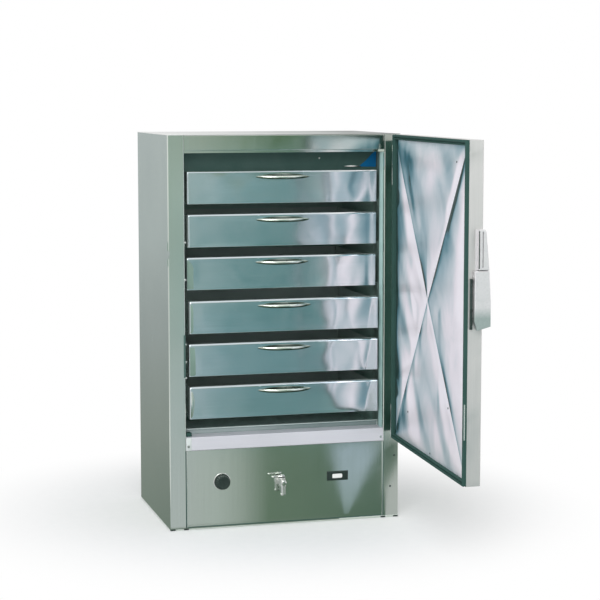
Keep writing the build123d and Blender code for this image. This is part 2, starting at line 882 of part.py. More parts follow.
def serpentine(first, step, low, high, end):
    """Points of a tube that runs to and fro between two sides, with both its ends beyond the low side."""
    points = [(end, first)]
    for number in range(tube_passes - 1):
        side = low if number % 2 else high
        points.append((side, first + number * step))
        points.append((side, first + (number + 1) * step))
    points.append((end, first + (tube_passes - 1) * step))
    return points


def finned(coil, low, high, deep, tall, plate_tall):
    """Tube coil with an end plate at both ends of its straight runs and fins between them."""
    plates = []
    for x in (low, high):
        plates.append(block(around(x, sheet), deep, plate_tall))
    count = int((high - low) // fin_pitch) - 1
    for number in range(count):
        x = (low + high) / 2 + (number - (count - 1) / 2) * fin_pitch
        plates.append(block(around(x, fin_sheet), deep, tall))
    return coil.fuse(*plates)


def evaporator_coil():
    reach = coil_half + coil_pass_pitch / 2
    flat = serpentine(coil_front, coil_pass_pitch, -reach, reach, coil_end)
    coil = tube([(x, y, coil_level) for x, y in flat], tube_radius, 0.45 * coil_pass_pitch)
    deep = (coil_front - coil_pass_pitch / 2, coil_back + coil_pass_pitch / 2)
    tall = around(coil_level, coil_fin_height)
    return finned(coil, -coil_half, coil_half, deep, tall, (tall[0], ceiling))


def condenser():
    bend = condenser_pitch / 2
    low = condenser_left - bend
    upright = serpentine(condenser_first_pass, condenser_pitch, low, condenser_right, condenser_end)
    coil = tube([(x, condenser_y, z) for x, z in upright], tube_radius, 0.9 * bend)
    deep = around(condenser_y, condenser_depth)
    tall = (condenser_first_pass - condenser_edge, condenser_top)
    return finned(coil, condenser_left, condenser_right - bend, deep, tall, (sheet, condenser_top))


def compressor():
    foot = block(
        around(compressor_x, 2 * (compressor_radius + compressor_foot_overhang)),
        around(compressor_y, compressor_foot_depth), (sheet, compressor_base),
    )
    can = rod((compressor_x, compressor_y, compressor_base), (0, 0, 1), compressor_radius, compressor_height)
    can = fillet(can.edges().filter_by(GeomType.CIRCLE), compressor_round)
    reach = compressor_radius + stub_length
    suction = rod((compressor_x, compressor_y, suction_level), (0, 1, 0), tube_radius + stub_wall, reach)
    discharge = rod((compressor_x, compressor_y, discharge_level), (1, 0, 0), tube_radius + stub_wall, reach)
    return union(foot, can, suction, discharge)


def refrigerant_pipes():
    reach = compressor_radius + stub_length
    suction = tube([
        (coil_end, coil_back, coil_level), (suction_x, coil_back, coil_level),
        (suction_x, pipe_y, coil_level), (suction_x, pipe_y, suction_level),
        (compressor_x, pipe_y, suction_level),
        (compressor_x, compressor_y + reach, suction_level),
    ], tube_radius, tube_bend)
    liquid = tube([
        (coil_end, coil_front, coil_level), (liquid_x, coil_front, coil_level),
        (liquid_x, pipe_y, coil_level), (liquid_x, pipe_y, condenser_first_pass),
        (liquid_x, condenser_y, condenser_first_pass),
        (condenser_end, condenser_y, condenser_first_pass),
    ], tube_radius, tube_bend)
    drier_start = (drier_x - drier_length / 2, condenser_y, condenser_first_pass)
    drier = rod(drier_start, (1, 0, 0), drier_radius, drier_length)
    turn_x = compressor_x + reach + discharge_run
    discharge = tube([
        (compressor_x + reach, compressor_y, discharge_level), (turn_x, compressor_y, discharge_level),
        (turn_x, condenser_y, discharge_level), (turn_x, condenser_y, condenser_last_pass),
        (condenser_end, condenser_y, condenser_last_pass),
    ], tube_radius, tube_bend)
    return [suction, union(liquid, drier), discharge]


def fan_motor():
    can = rod((fan_x, motor_front, fan_z), (0, 1, 0), fan_motor_radius, fan_motor_length)
    shaft_end = fan_back - fan_shaft_end_gap
    shaft = rod((fan_x, motor_front, fan_z), (0, 1, 0), fan_shaft_radius, shaft_end - motor_front)
    middle = (motor_front + motor_back) / 2
    stand = block(around(fan_x, motor_stand_width), around(middle, motor_stand_depth), (sheet, fan_z))
    foot_tall = (sheet, sheet + motor_foot)
    foot = block(around(fan_x, motor_foot_width), around(middle, motor_foot_depth), foot_tall)
    return union(can, shaft, stand, foot)


def condenser_fan():
    hub = rod((fan_x, fan_front, fan_z), (0, 1, 0), fan_hub_radius, fan_depth)
    root = fan_hub_radius - fan_blade_root
    blades = []
    for number in range(fan_blades):
        blade = Pos(0, 0, (root + fan_radius) / 2) * Box(fan_blade_width, fan_blade_sheet, fan_radius - root)
        turned = Rot(0, 360 / fan_blades * number, 0) * Rot(0, 0, fan_blade_angle) * blade
        blades.append(Pos(fan_x, (fan_front + fan_back) / 2, fan_z) * turned)
    bore = rod((fan_x, fan_front, fan_z), (0, 1, 0), fan_shaft_radius + pin_clearance, fan_depth)
    return union(hub, *blades) - bore


def control_box():
    across = around(control_box_x, control_box_width)
    deep = around(control_box_y, control_box_depth)
    top = sheet + control_box_tall
    wall = 2 * control_box_wall
    hollow = block(
        around(control_box_x, control_box_width - wall), around(control_box_y, control_box_depth - wall),
        (sheet, top - control_box_wall),
    )
    return block(across, deep, (sheet, top)) - hollow


# Screw heads

def frame_screws():
    heads = []
    for height in jamb_screw_heights:
        heads.append(screw_at((-opening_half, front + screw_setback, height), (1, 0, 0)))
    for side in (-1, 1):
        sill_place = (side * (opening_half - sill_screw_inset), front, sill_bottom + sill_screw_raise)
        heads.append(screw_at(sill_place, (0, -1, 0)))
        for height in (vent_bottom - vent_lap / 2, vent_top + vent_lap / 2):
            heads.append(screw_at((side * (vent_half - vent_lap), back + sheet, height), (0, 1, 0)))
    return heads


def screw_at(place, direction):
    """Round screw head that rises from a surface."""
    head = rod((0, 0, 0), (0, 0, 1), screw_radius, screw_head)
    head = fillet(head.edges().filter_by(GeomType.CIRCLE).sort_by(Axis.Z)[-1], screw_round)
    return Plane(origin=place, z_dir=direction) * head


def write_node(name, pieces):
    """Writes one node's solids."""
    listed = pieces if isinstance(pieces, list) else [pieces]
    solids = [solid for piece in listed for solid in piece.solids()]
    export_step(solids[0] if len(solids) == 1 else Compound(solids), f"parts/{name}.step")


nodes = {
    "base_pan": base_pan(),
    "left_side_panel": left_side_panel(),
    "right_side_panel": mirror(left_side_panel(), about=Plane.YZ),
    "back_panel": back_panel(),
    "top_panel": top_panel(),
    "left_stile": left_stile(),
    "right_stile": mirror(left_stile(), about=Plane.YZ),
    "top_rail": top_rail(),
    "front_sill": front_sill(),
    "access_panel": access_panel(),
    "rear_grille": rear_grille(),
    "cable_gland": cable_gland(),
    "frame_screws": frame_screws(),
    "wall_insulation": wall_insulation(),
    "inner_liner": inner_liner(),
    "floor_pan": floor_pan(),
    "drain_pipe": drain_pipe(),
    "drawer_runners": drawer_runners(),
    "door_skin": door_skin(),
    "door_insulation": door_insulation(),
    "door_liner": door_liner(),
    "door_gasket": door_gasket(),
    "hinge_cabinet_leaves": hinge_cabinet_leaves(),
    "hinge_door_leaves": hinge_door_leaves(),
    "latch_housing": latch_housing(),
    "latch_paddle": latch_paddle(),
    "latch_strike": latch_strike(),
    "thermostat": thermostat(),
    "thermostat_knob": thermostat_knob(),
    "drain_tap": drain_tap(),
    "tap_lever": tap_lever(),
    "thermometer_case": thermometer_case(),
    "thermometer_window": thermometer_window(0),
    "evaporator_coil": evaporator_coil(),
    "condenser": condenser(),
    "compressor": compressor(),
    "refrigerant_pipes": refrigerant_pipes(),
    "fan_motor": fan_motor(),
    "condenser_fan": condenser_fan(),
    "control_box": control_box(),
}
tray = drawer_tray()
grid = drawer_grid()
handle = drawer_handle()
for number in range(drawer_count):
    nodes[f"drawer_{number + 1}_tray"] = drawer_place(number) * tray
    nodes[f"drawer_{number + 1}_grid"] = drawer_place(number) * grid
    nodes[f"drawer_{number + 1}_handle"] = drawer_place(number) * handle

os.makedirs("parts", exist_ok=True)
for name, pieces in nodes.items():
    write_node(name, pieces)
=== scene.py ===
import json
import math

import bmesh
import bpy
from mathutils import Matrix, Vector, noise
from mathutils.bvhtree import BVHTree


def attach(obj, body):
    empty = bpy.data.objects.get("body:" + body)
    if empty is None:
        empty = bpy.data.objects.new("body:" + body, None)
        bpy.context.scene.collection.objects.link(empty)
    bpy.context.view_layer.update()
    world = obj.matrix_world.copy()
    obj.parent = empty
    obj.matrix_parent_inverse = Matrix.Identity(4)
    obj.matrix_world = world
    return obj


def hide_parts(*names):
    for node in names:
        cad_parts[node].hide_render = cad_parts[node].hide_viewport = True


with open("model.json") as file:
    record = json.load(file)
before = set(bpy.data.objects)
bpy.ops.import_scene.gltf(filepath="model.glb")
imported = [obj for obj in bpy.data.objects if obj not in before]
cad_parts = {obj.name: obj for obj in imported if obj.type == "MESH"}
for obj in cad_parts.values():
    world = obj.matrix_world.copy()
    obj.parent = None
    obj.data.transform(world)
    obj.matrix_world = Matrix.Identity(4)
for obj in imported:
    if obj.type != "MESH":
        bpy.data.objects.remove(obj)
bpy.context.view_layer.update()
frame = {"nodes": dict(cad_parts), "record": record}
nodes = frame["nodes"]
scene = bpy.context.scene
MM = 0.001

# Places of the cabinet, in millimetres, as the solids have them
FRONT, BACK = -250.0, 250.0
HALF_WIDTH = 380.0
HEIGHT = 1250.0
CEILING = 1200.0
SILL_BOTTOM, SILL_TOP = 254.5, 297.5
SILL_TAB_X = -317.8
DARK_BLOCK_X, DARK_BLOCK_Y = -314.0, -219.0
PANEL_BOTTOM = 8.0
COIL_SHADE_COVER_Y = -168.0
KNOB = Vector((-211.0, -252.5, 150.0))
TAP_X, TAP_Z = -20.0, 144.0
TAP_VALVE_Y, TAP_SPOUT_Y = -272.0, -286.0
TAP_LEVER_LENGTH, TAP_LEVER_Z = 34.0, 162.2
THERMOMETER = Vector((172.0, -254.0, 148.0))

# Drawers, from the top one down
DRAWER_HEIGHT = 102.0
DRAWER_HALF = 311.0
DRAWER_TOPS = (1134.0, 998.0, 862.0, 726.0, 590.0, 454.0)
DRAWER_FRONTS = (-210.0, -210.0, -202.0, -230.0, -228.0, -230.0)
DRAWER_LEFTS = (-309.5, -307.2, -310.4, -308.0, -310.4, -309.0)
# Where the right end of a front turns outward, as a share of the half width, its lean and its flare
DRAWER_TURNS = (0.93, 0.93, 0.93, 0.89, 0.88, 0.86)
DRAWER_LEANS = (0.0, 0.0, 0.0, 0.04, 0.05, 0.07)
DRAWER_FLARES = (30.0, 30.0, 32.0, 34.0, 38.0, 42.0)
# How uneven a front is, how far its right half bows forward and where that bow begins and is full
DRAWER_SLACKS = (0.26, 0.5, 0.55, 0.55, 0.55, 0.55)
DRAWER_BOWS = (3.6, 1.0, 4.0, 3.5, 3.7, 3.3)
BOW_START, BOW_END = 55.0, 175.0
HANDLE_HALF, HANDLE_REACH = 86.0, 20.5
# Plate of painted shadow behind a handle: drop of its middle below the top edge, half width and half height
HANDLE_SHADOW_DROP, HANDLE_SHADOW_HALF, HANDLE_SHADOW_RISE = 13.5, 66.0, 5.0

# Door, as it lies when closed, and how far it stands open
DOOR_HALF = 378.0
DOOR_BOTTOM, DOOR_TOP = 275.0, 1249.0
DOOR_INNER = -262.3
GASKET_WIDTH, SHEET_LAP = 16.0, 3.0
HINGE = Vector((386.0, -304.3, 0.0))
DOOR_TURN = Matrix.Rotation(math.radians(87.0), 4, "Z")
# Swells of the door's inner sheet: place and spread as shares of its half width and half height, and lift
DOOR_SWELLS = (
    (0.16, 0.86, 0.38, 0.20, 8.0), (-1.05, 0.55, 0.45, 0.35, 6.5), (-0.80, 0.15, 0.20, 0.16, 2.6),
    (0.62, -0.93, 0.25, 0.14, 4.5), (-0.55, -0.30, 0.25, 0.35, 1.2),
)

# Camera
CAMERA_PLACE = Vector((-1.48707, -5.7265, 1.36935))
CAMERA_YAW = 0.273
CAMERA_TILT = 0.113
CAMERA_LENS = 107.84
CAMERA_SENSOR = 36.0

# Distances from the cabinet's middle, in metres, between which the floor turns plain white
WHITE_START, WHITE_END = 0.40, 1.15


def hung(point):
    """A point of the closed door, in millimetres, at its place on the open door."""
    return HINGE + DOOR_TURN @ (Vector(point) - HINGE)


def even(amount):
    """The same amount in three channels or along three axes."""
    return (amount, amount, amount)


WHITE = even(1.0)
PLAIN = [(0.0, WHITE), (1.0, WHITE)]


# Node materials

def wire(tree, made, sockets):
    """Sets sockets of a node, by name or number, to values or links them to outputs."""
    for socket, value in sockets.items():
        if isinstance(value, bpy.types.NodeSocket):
            tree.links.new(value, made.inputs[socket])
        else:
            made.inputs[socket].default_value = value


def node(tree, kind, sockets=None, **settings):
    made = tree.nodes.new(kind)
    for key, value in settings.items():
        setattr(made, key, value)
    wire(tree, made, sockets or {})
    return made


def new_material(name):
    made = bpy.data.materials.new(name)
    made.use_nodes = True
    return made, made.node_tree, made.node_tree.nodes["Principled BSDF"]


def here(tree):
    """Place in the frame, in metres."""
    return node(tree, "ShaderNodeTexCoord").outputs["Object"]


def clouds(tree, scale, detail=2.0, rough=0.5, distortion=0.0):
    """Cloudy value. The scale gives the clouds to a metre along each axis."""
    place = node(tree, "ShaderNodeMapping", {"Vector": here(tree), "Scale": scale}).outputs["Vector"]
    return node(tree, "ShaderNodeTexNoise", {
        "Vector": place, "Scale": 1.0, "Detail": detail, "Roughness": rough, "Distortion": distortion,
    }).outputs["Fac"]


def ramp(tree, source, stops, easing="LINEAR"):
    """Colour by value, through stops of (value, colour)."""
    made = node(tree, "ShaderNodeValToRGB", {"Fac": source})
    made.color_ramp.interpolation = easing
    points = made.color_ramp.elements
    for _ in range(len(stops) - 2):
        points.new(0.5)
    for point, (place, colour) in zip(points, stops):
        point.position = place
        point.color = (*colour, 1.0)
    return made.outputs["Color"]


def spread(tree, source, low, high, start=0.3, end=0.7, easing="LINEAR"):
    """From low to high while the source goes from start to end."""
    return node(tree, "ShaderNodeMapRange", {
        "Value": source, "From Min": start, "From Max": end, "To Min": low, "To Max": high,
    }, interpolation_type=easing).outputs["Result"]


def multiply(tree, one, other):
    """Product of two colours."""
    sockets = {"Factor": 1.0, 6: one, 7: other}
    return node(tree, "ShaderNodeMix", sockets, data_type="RGBA", blend_type="MULTIPLY").outputs[2]


def weigh(tree, operation, one, other):
    """An operation on two values, each of them a number or an output."""
    return node(tree, "ShaderNodeMath", {0: one, 1: other}, operation=operation).outputs[0]


def along(tree, axis, start, end):
    """0 to 1 along one axis of the frame, in metres."""
    split = node(tree, "ShaderNodeSeparateXYZ", {"Vector": here(tree)})
    return spread(tree, split.outputs[axis], 0.0, 1.0, start, end)


def bump(tree, height, distance, strength=1.0, **under):
    """Bumpy normal, over another one where that is given."""
    sockets = {"Height": height, "Distance": distance, "Strength": strength, **under}
    return node(tree, "ShaderNodeBump", sockets).outputs["Normal"]


def smeared(tree, least, most):
    """Roughness with finger smears."""
    return spread(tree, clouds(tree, (9.0, 9.0, 7.0), 4.0, 0.62, 0.8), least, most)


def steel(name, pale, deep, rough, grain="X", tones=(), metallic=1.0):
    """Stainless sheet: cloudy tone, finger smears in the gloss, a fine grain and a slight waviness."""
    made, tree, shader = new_material(name)
    tone = ramp(tree, clouds(tree, even(2.6), 3.0, 0.55, 0.4), [(0.3, deep), (0.7, pale)])
    lines = clouds(tree, [3.0 if axis == grain else 420.0 for axis in "XYZ"], 3.0, 0.6)
    tone = multiply(tree, tone, ramp(tree, lines, [(0.25, even(0.93)), (0.75, WHITE)]))
    for axis, start, end, stops in tones:
        tone = multiply(tree, tone, ramp(tree, along(tree, axis, start, end), stops, "B_SPLINE"))
    sheet = bump(tree, clouds(tree, even(5.0), 1.0, 0.4), 0.0003)
    wire(tree, shader, {
        "Metallic": metallic, "Base Color": tone, "Roughness": smeared(tree, 0.85 * rough, 1.5 * rough),
        "Normal": bump(tree, lines, 0.00002, 0.35, Normal=sheet),
    })
    return made


def polished(name, pale, deep, rough, tones=()):
    """Bright metal of small fittings: light cloudiness and faint wear."""
    made, tree, shader = new_material(name)
    wear = clouds(tree, even(70.0), 4.0, 0.6)
    tone = ramp(tree, wear, [(0.3, deep), (0.65, pale)])
    for axis, start, end, stops in tones:
        tone = multiply(tree, tone, ramp(tree, along(tree, axis, start, end), stops))
    wire(tree, shader, {
        "Metallic": 1.0, "Base Color": tone, "Roughness": spread(tree, wear, 1.6 * rough, rough),
        "Normal": bump(tree, clouds(tree, even(240.0)), 0.00004, 0.4),
    })
    return made


def slack_steel(name, lean, stops, rough, metallic):
    """Polished slack sheet with painted reflections: its tone follows the lean of its folds. A wavy band of
    painted shade runs along the hinge, and the upper part towards the free edge is painted darker.
    """
    made, tree, shader = new_material(name)
    normal = node(tree, "ShaderNodeTexCoord").outputs["Normal"]
    # Painted reflection: paler where the normal leans towards the free side
    leaning = node(tree, "ShaderNodeVectorMath", {0: normal, 1: lean}, operation="DOT_PRODUCT")
    cloud = spread(tree, clouds(tree, (7.0, 7.0, 5.0), 3.0, 0.55, 0.6), -0.018, 0.018)
    amount = weigh(tree, "ADD", leaning.outputs["Value"], cloud)
    # Wavy band of painted shade along the hinge edge
    wander = spread(tree, clouds(tree, (0.0, 0.0, 8.0)), -0.6, 0.6)
    hinge_band_shade = weigh(tree, "ADD", along(tree, "Y", -0.42, -0.312), wander)
    amount = weigh(tree, "ADD", amount, spread(tree, hinge_band_shade, 0.0, -0.10, 0.80, 1.10))
    # Painted shade over the upper part towards the free edge
    upper = along(tree, "Z", 0.75, 1.15)
    free_edge_shade = spread(tree, along(tree, "Y", -0.72, -1.02), 0.018, 0.054, 0.0, 1.0)
    amount = weigh(tree, "SUBTRACT", amount, weigh(tree, "MULTIPLY", upper, free_edge_shade))
    tone = ramp(tree, spread(tree, amount, 0.0, 1.0, -0.082, 0.052), stops)
    wire(tree, shader, {
        "Metallic": metallic, "Base Color": tone, "Specular Tint": tone, "Specular IOR Level": 0.15,
        "Roughness": smeared(tree, 0.9 * rough, 1.2 * rough),
        "Normal": bump(tree, clouds(tree, even(11.0), 1.0, 0.4), 0.0003),
    })
    return made


def handle_bar(name, pale, shade_tone, rough):
    """Bright bar with painted shade on its underside, back and ends."""
    made, tree, shader = new_material(name)
    # Painted shade: darker where the normal points down, back and out to the ends
    normal = node(tree, "ShaderNodeNewGeometry").outputs["Normal"]
    split = node(tree, "ShaderNodeSeparateXYZ", {"Vector": normal})
    ends = weigh(tree, "MULTIPLY", weigh(tree, "ABSOLUTE", split.outputs["X"], 0.0), 0.8)
    back = weigh(tree, "MULTIPLY", weigh(tree, "MAXIMUM", split.outputs["Y"], 0.0), 0.9)
    facing = weigh(tree, "SUBTRACT", weigh(tree, "SUBTRACT", split.outputs["Z"], ends), back)
    wear = clouds(tree, even(60.0), 4.0, 0.6)
    facing = weigh(tree, "ADD", facing, spread(tree, wear, -0.12, 0.12))
    tone = ramp(tree, spread(tree, facing, 0.0, 1.0, -0.34, 0.04), [(0.0, shade_tone), (1.0, pale)])
    wire(tree, shader, {
        "Metallic": 1.0, "Base Color": tone, "Roughness": spread(tree, wear, 1.4 * rough, rough),
        "Normal": bump(tree, clouds(tree, even(200.0)), 0.00003, 0.4),
    })
    return made


def moulded(name, pale, deep, rough, size=300.0, depth=0.00008, gloss=0.5):
    """Plastic, rubber, paint or foam: speckled colour, a fine surface texture and uneven gloss."""
    made, tree, shader = new_material(name)
    broad = clouds(tree, even(14.0), 4.0, 0.6)
    wire(tree, shader, {
        "Specular IOR Level": gloss, "Base Color": ramp(tree, broad, [(0.3, deep), (0.7, pale)]),
        "Roughness": spread(tree, broad, 0.85 * rough, 1.2 * rough),
        "Normal": bump(tree, clouds(tree, even(size), 3.0, 0.6), depth, 0.6),
    })
    return made


CARCASS = steel("carcass_steel", (0.71, 0.765, 0.71), (0.66, 0.72, 0.67), 0.10, "Z")
# Top panel: painted shade, darker towards its right end
TOP = steel(
    "top_steel", (0.78, 0.79, 0.78), (0.73, 0.74, 0.73), 0.40, "Z",
    tones=[("X", -0.38, 0.38, [(0.0, WHITE), (0.5, (0.74, 0.75, 0.74)), (1.0, (0.24, 0.26, 0.25))])],
)
SILL = steel(
    "sill_steel", (0.70, 0.705, 0.755), (0.66, 0.665, 0.715), 0.38, "X", metallic=0.2,
    tones=[("X", -0.33, 0.05, [(0.0, even(0.94)), (1.0, WHITE)])],
)
TAB = steel("tab_steel", (0.66, 0.71, 0.70), (0.60, 0.65, 0.64), 0.35, "Z", metallic=0.3)
BEAD = steel("bead_steel", (0.72, 0.78, 0.74), (0.66, 0.72, 0.68), 0.18, "Z")
# Dark green: painted reflection of the stile on the left ends of drawer fronts
STILE_REFLECTION = steel("stile_reflection_steel", (0.26, 0.38, 0.32), (0.21, 0.32, 0.27), 0.35, "Z", metallic=0.4)
# Liner: painted shade, near black over its front part next to the opening
LINER = steel(
    "liner_steel", (0.66, 0.88, 0.82), (0.60, 0.82, 0.75), 0.5, "Y", metallic=0.15,
    tones=[("Y", -0.165, -0.125, [(0.0, (0.13, 0.15, 0.14)), (1.0, WHITE)])],
)
# Near-black teal sheet: painted shade, where the inside of the cabinet lies in shade
SHADE_DARK = steel("shade_dark_steel", (0.050, 0.115, 0.100), (0.042, 0.098, 0.084), 0.55, "X", metallic=0.1)
PLATE = steel("plate_steel", (0.60, 0.61, 0.60), (0.54, 0.55, 0.54), 0.30, "Z")
SATIN = steel("satin_steel", (0.69, 0.685, 0.675), (0.64, 0.64, 0.63), 0.46, "Z")
PAN = steel("pan_steel", (0.86, 0.98, 0.95), (0.78, 0.90, 0.87), 0.40, "X", metallic=0.15)
# Pan lip: painted shade, darker towards the right, and painted highlight and shade bands up its rolled edge
LIP = steel(
    "lip_steel", (0.50, 0.57, 0.56), (0.44, 0.51, 0.50), 0.40, "X", metallic=0.15,
    tones=[
        ("X", -0.12, 0.06, [(0.0, WHITE), (1.0, (0.52, 0.59, 0.58))]),
        ("Z", 0.2975, 0.3155, [
            (0.0, (0.5, 0.55, 0.55)), (0.2, even(1.1)), (0.5, even(1.15)), (0.7, (0.6, 0.65, 0.65)),
            (1.0, even(1.3)),
        ]),
    ],
)
# Drawer fronts: painted reflection, darker left of 0.11 m and lighter right of 0.2 m
DRAWER = steel(
    "drawer_steel", (0.911, 0.936, 0.948), (0.843, 0.88, 0.894), 0.10, "X",
    tones=[("X", 0.11, 0.20, [(0.0, (0.669, 0.758, 0.791)), (1.0, (1.066, 1.049, 1.042))])],
)
# Trays: painted shade, near black on their outer left side
TRAY = steel(
    "tray_steel", (0.79, 0.88, 0.86), (0.71, 0.81, 0.78), 0.5, "Y", metallic=0.15,
    tones=[("X", -0.3064, -0.3056, [(0.0, (0.05, 0.07, 0.065)), (1.0, WHITE)])],
)
# Inner door sheet: painted reflections, deep teal where its folds lean to the hinge and pale lavender where
# they lean to the free side
DOOR_SHEET = slack_steel(
    "polished_steel", DOOR_TURN @ Vector((-1, 0, 0)),
    [(0.0, (0.030, 0.075, 0.068)), (0.13, (0.09, 0.24, 0.30)), (0.3, (0.33, 0.46, 0.52)),
     (0.55, (0.62, 0.67, 0.72)), (0.8, (0.87, 0.82, 0.88)), (1.0, (0.95, 0.90, 0.96))],
    0.34, 0.35,
)
FINS = steel("fin_aluminium", (0.62, 0.63, 0.64), (0.5, 0.51, 0.53), 0.35, "Z")
# Plate behind each handle: painted shadow of the bow, with dark patches near both ends
HANDLE_SHADOW_DARK, HANDLE_SHADOW_TIP = (0.16, 0.22, 0.17), (0.5, 0.6, 0.5)
HANDLE_SHADOW = steel(
    "handle_shadow_plate", (0.50, 0.55, 0.52), (0.44, 0.50, 0.46), 0.25, "X",
    tones=[("X", -0.066, 0.066, [
        (0.0, HANDLE_SHADOW_TIP), (0.2, HANDLE_SHADOW_DARK), (0.42, WHITE), (0.58, WHITE), (0.8, HANDLE_SHADOW_DARK), (1.0, HANDLE_SHADOW_TIP),
    ])],
)
BRIGHT = polished("bright_metal", (0.78, 0.79, 0.76), (0.62, 0.64, 0.61), 0.14)
# Screws: painted shade below 0.3 m, and a painted highlight, twice as bright, right of 0.31 m
SCREWS = polished(
    "screw_metal", (0.80, 0.82, 0.78), (0.64, 0.66, 0.63), 0.22,
    [("Z", 0.30, 0.40, [(0.0, (0.40, 0.43, 0.42)), (1.0, WHITE)]),
     ("X", 0.25, 0.31, [(0.0, WHITE), (1.0, (2.0, 2.0, 2.1))])],
)
DARK_METAL = polished("dark_fixings", (0.09, 0.12, 0.115), (0.05, 0.07, 0.066), 0.4)
COPPER = polished("copper", (0.72, 0.38, 0.24), (0.5, 0.22, 0.13), 0.3)
# Latch casting: painted shade, darker below 0.755 m on the paddle's lower part
CASTING = polished(
    "latch_casting", (0.80, 0.79, 0.80), (0.70, 0.70, 0.71), 0.40,
    [("Z", 0.755, 0.785, [(0.0, (0.55, 0.65, 0.62)), (1.0, WHITE)])],
)
HANDLE = handle_bar("handle_metal", (0.80, 0.85, 0.78), (0.08, 0.12, 0.09), 0.18)
# Near-black: painted shade on the door's hinge edge
HINGE_EDGE_SHADE = moulded("hinge_shade_plastic", (0.060, 0.135, 0.115), (0.048, 0.112, 0.095), 0.7, gloss=0.1)
RUBBER = moulded("gasket_rubber", (0.038, 0.090, 0.078), (0.030, 0.074, 0.063), 0.75, gloss=0.1)
FOAM = moulded("foam", (0.78, 0.70, 0.46), (0.66, 0.58, 0.36), 0.9, 120.0, 0.0006)
BLACK = moulded("black_plastic", (0.022, 0.040, 0.034), (0.014, 0.026, 0.022), 0.45, gloss=0.3)
GREY = moulded("grey_plastic", (0.42, 0.43, 0.43), (0.34, 0.35, 0.35), 0.5)
WINDOW = moulded("window_plastic", (0.90, 0.92, 0.89), (0.85, 0.86, 0.84), 0.2, 600.0, 0.00001)
SEGMENTS = moulded("unlit_segments", (0.74, 0.76, 0.74), (0.70, 0.72, 0.70), 0.3, 600.0, 0.00001)
FILM = moulded("blue_film", (0.003, 0.150, 0.360), (0.002, 0.115, 0.290), 0.6, 90.0, 0.0003, gloss=0.15)
# Evaporator fins: dark teal, painted shade
SHADE_FINS = moulded("shade_dark_fins", (0.10, 0.19, 0.17), (0.07, 0.14, 0.125), 0.5)
STRIP = moulded("strip_plastic", (0.40, 0.58, 0.56), (0.34, 0.51, 0.49), 0.4)
PAINT = moulded("black_paint", (0.022, 0.022, 0.024), (0.012, 0.012, 0.013), 0.35)
SLOTS = {
    "carcass_steel": CARCASS, "sill_steel": SILL, "liner_steel": LINER, "drawer_steel": DRAWER,
    "polished_steel": DOOR_SHEET, "bright_metal": BRIGHT, "latch_casting": CASTING, "gasket_rubber": RUBBER,
    "foam": FOAM, "black_plastic": BLACK, "grey_plastic": GREY, "window_plastic": WINDOW,
    "fin_aluminium": FINS, "copper": COPPER, "black_paint": PAINT,
}


def dress(name, material):
    for place in nodes[name].material_slots:
        place.material = material


for part in frame["record"]["subparts"]:
    dress(part["node"], SLOTS[part["material_slot"]])
for name, finish in (
    ("door_skin", SATIN), ("top_panel", TOP), ("floor_pan", PAN), ("evaporator_coil", SHADE_FINS),
    ("frame_screws", SCREWS), ("hinge_cabinet_leaves", PLATE), ("hinge_door_leaves", PLATE),
    ("latch_strike", CARCASS),
):
    dress(name, finish)
for number in range(1, 7):
    dress("drawer_%d_tray" % number, TRAY)
    dress("drawer_%d_grid" % number, TRAY)


# Mesh pieces

def piece(name, shape, material, body="cabinet", replaces=(), sharp=None):
    """Object from a bmesh that rides on a body. Edges over the sharp angle, in degrees, stay crisp."""
    bmesh.ops.recalc_face_normals(shape, faces=shape.faces)
    if sharp is not None:
        for edge in shape.edges:
            if len(edge.link_faces) == 2 and edge.calc_face_angle(0.0) > math.radians(sharp):
                edge.smooth = False
    for face in shape.faces:
        face.smooth = True
    mesh = bpy.data.meshes.new(name)
    shape.to_mesh(mesh)
    shape.free()
    mesh.materials.append(material)
    made = bpy.data.objects.new(name, mesh)
    scene.collection.objects.link(made)
    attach(made, body)
    if replaces:
        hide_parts(*replaces)


def rings(shape, loops, caps=True):
    """Skins a row of point loops of equal length, in millimetres."""
    made = [[shape.verts.new(Vector(point) * MM) for point in loop] for loop in loops]
    count = len(made[0])
    for one, other in zip(made, made[1:]):
        for start in range(count):
            end = (start + 1) % count
            shape.faces.new((one[start], one[end], other[end], other[start]))
    if caps:
        shape.faces.new(made[0])
        shape.faces.new(made[-1][::-1])


def round_ring(shape, loops):
    """Skins a row of loops that closes on its own first loop."""
    rings(shape, loops + loops[:1], caps=False)
    bmesh.ops.remove_doubles(shape, verts=shape.verts, dist=1e-6)


def stacked(name, stacks, material, body="cabinet", replaces=(), sharp=40.0):
    """Piece of one or more stacks of point loops."""
    shape = bmesh.new()
    for loops in stacks:
        rings(shape, loops)
    piece(name, shape, material, body, replaces, sharp)


def circle(count):
    """Cosine and sine at equal steps round a circle."""
    angles = [math.tau * step / count for step in range(count)]
    return [(math.cos(angle), math.sin(angle)) for angle in angles]


def turned(shape, middle, axis, profile, sides=48, flutes=0, flute_depth=0.0):
    """Turned form about an axis. The profile gives distance along it, radius and share of fluting."""
    axis = Vector(axis).normalized()
    one = axis.orthogonal().normalized()
    other = axis.cross(one)
    loops = []
    for out, radius, *fluted in profile:
        share = fluted[0] if fluted else 0.0
        loop = []
        for step in range(sides):
            angle = 2 * math.pi * step / sides
            reach = radius - flute_depth * share * (0.5 - 0.5 * math.cos(flutes * angle))
            spoke = one * math.cos(angle) + other * math.sin(angle)
            loop.append(Vector(middle) + axis * out + spoke * reach)
        loops.append(loop)
    rings(shape, loops)


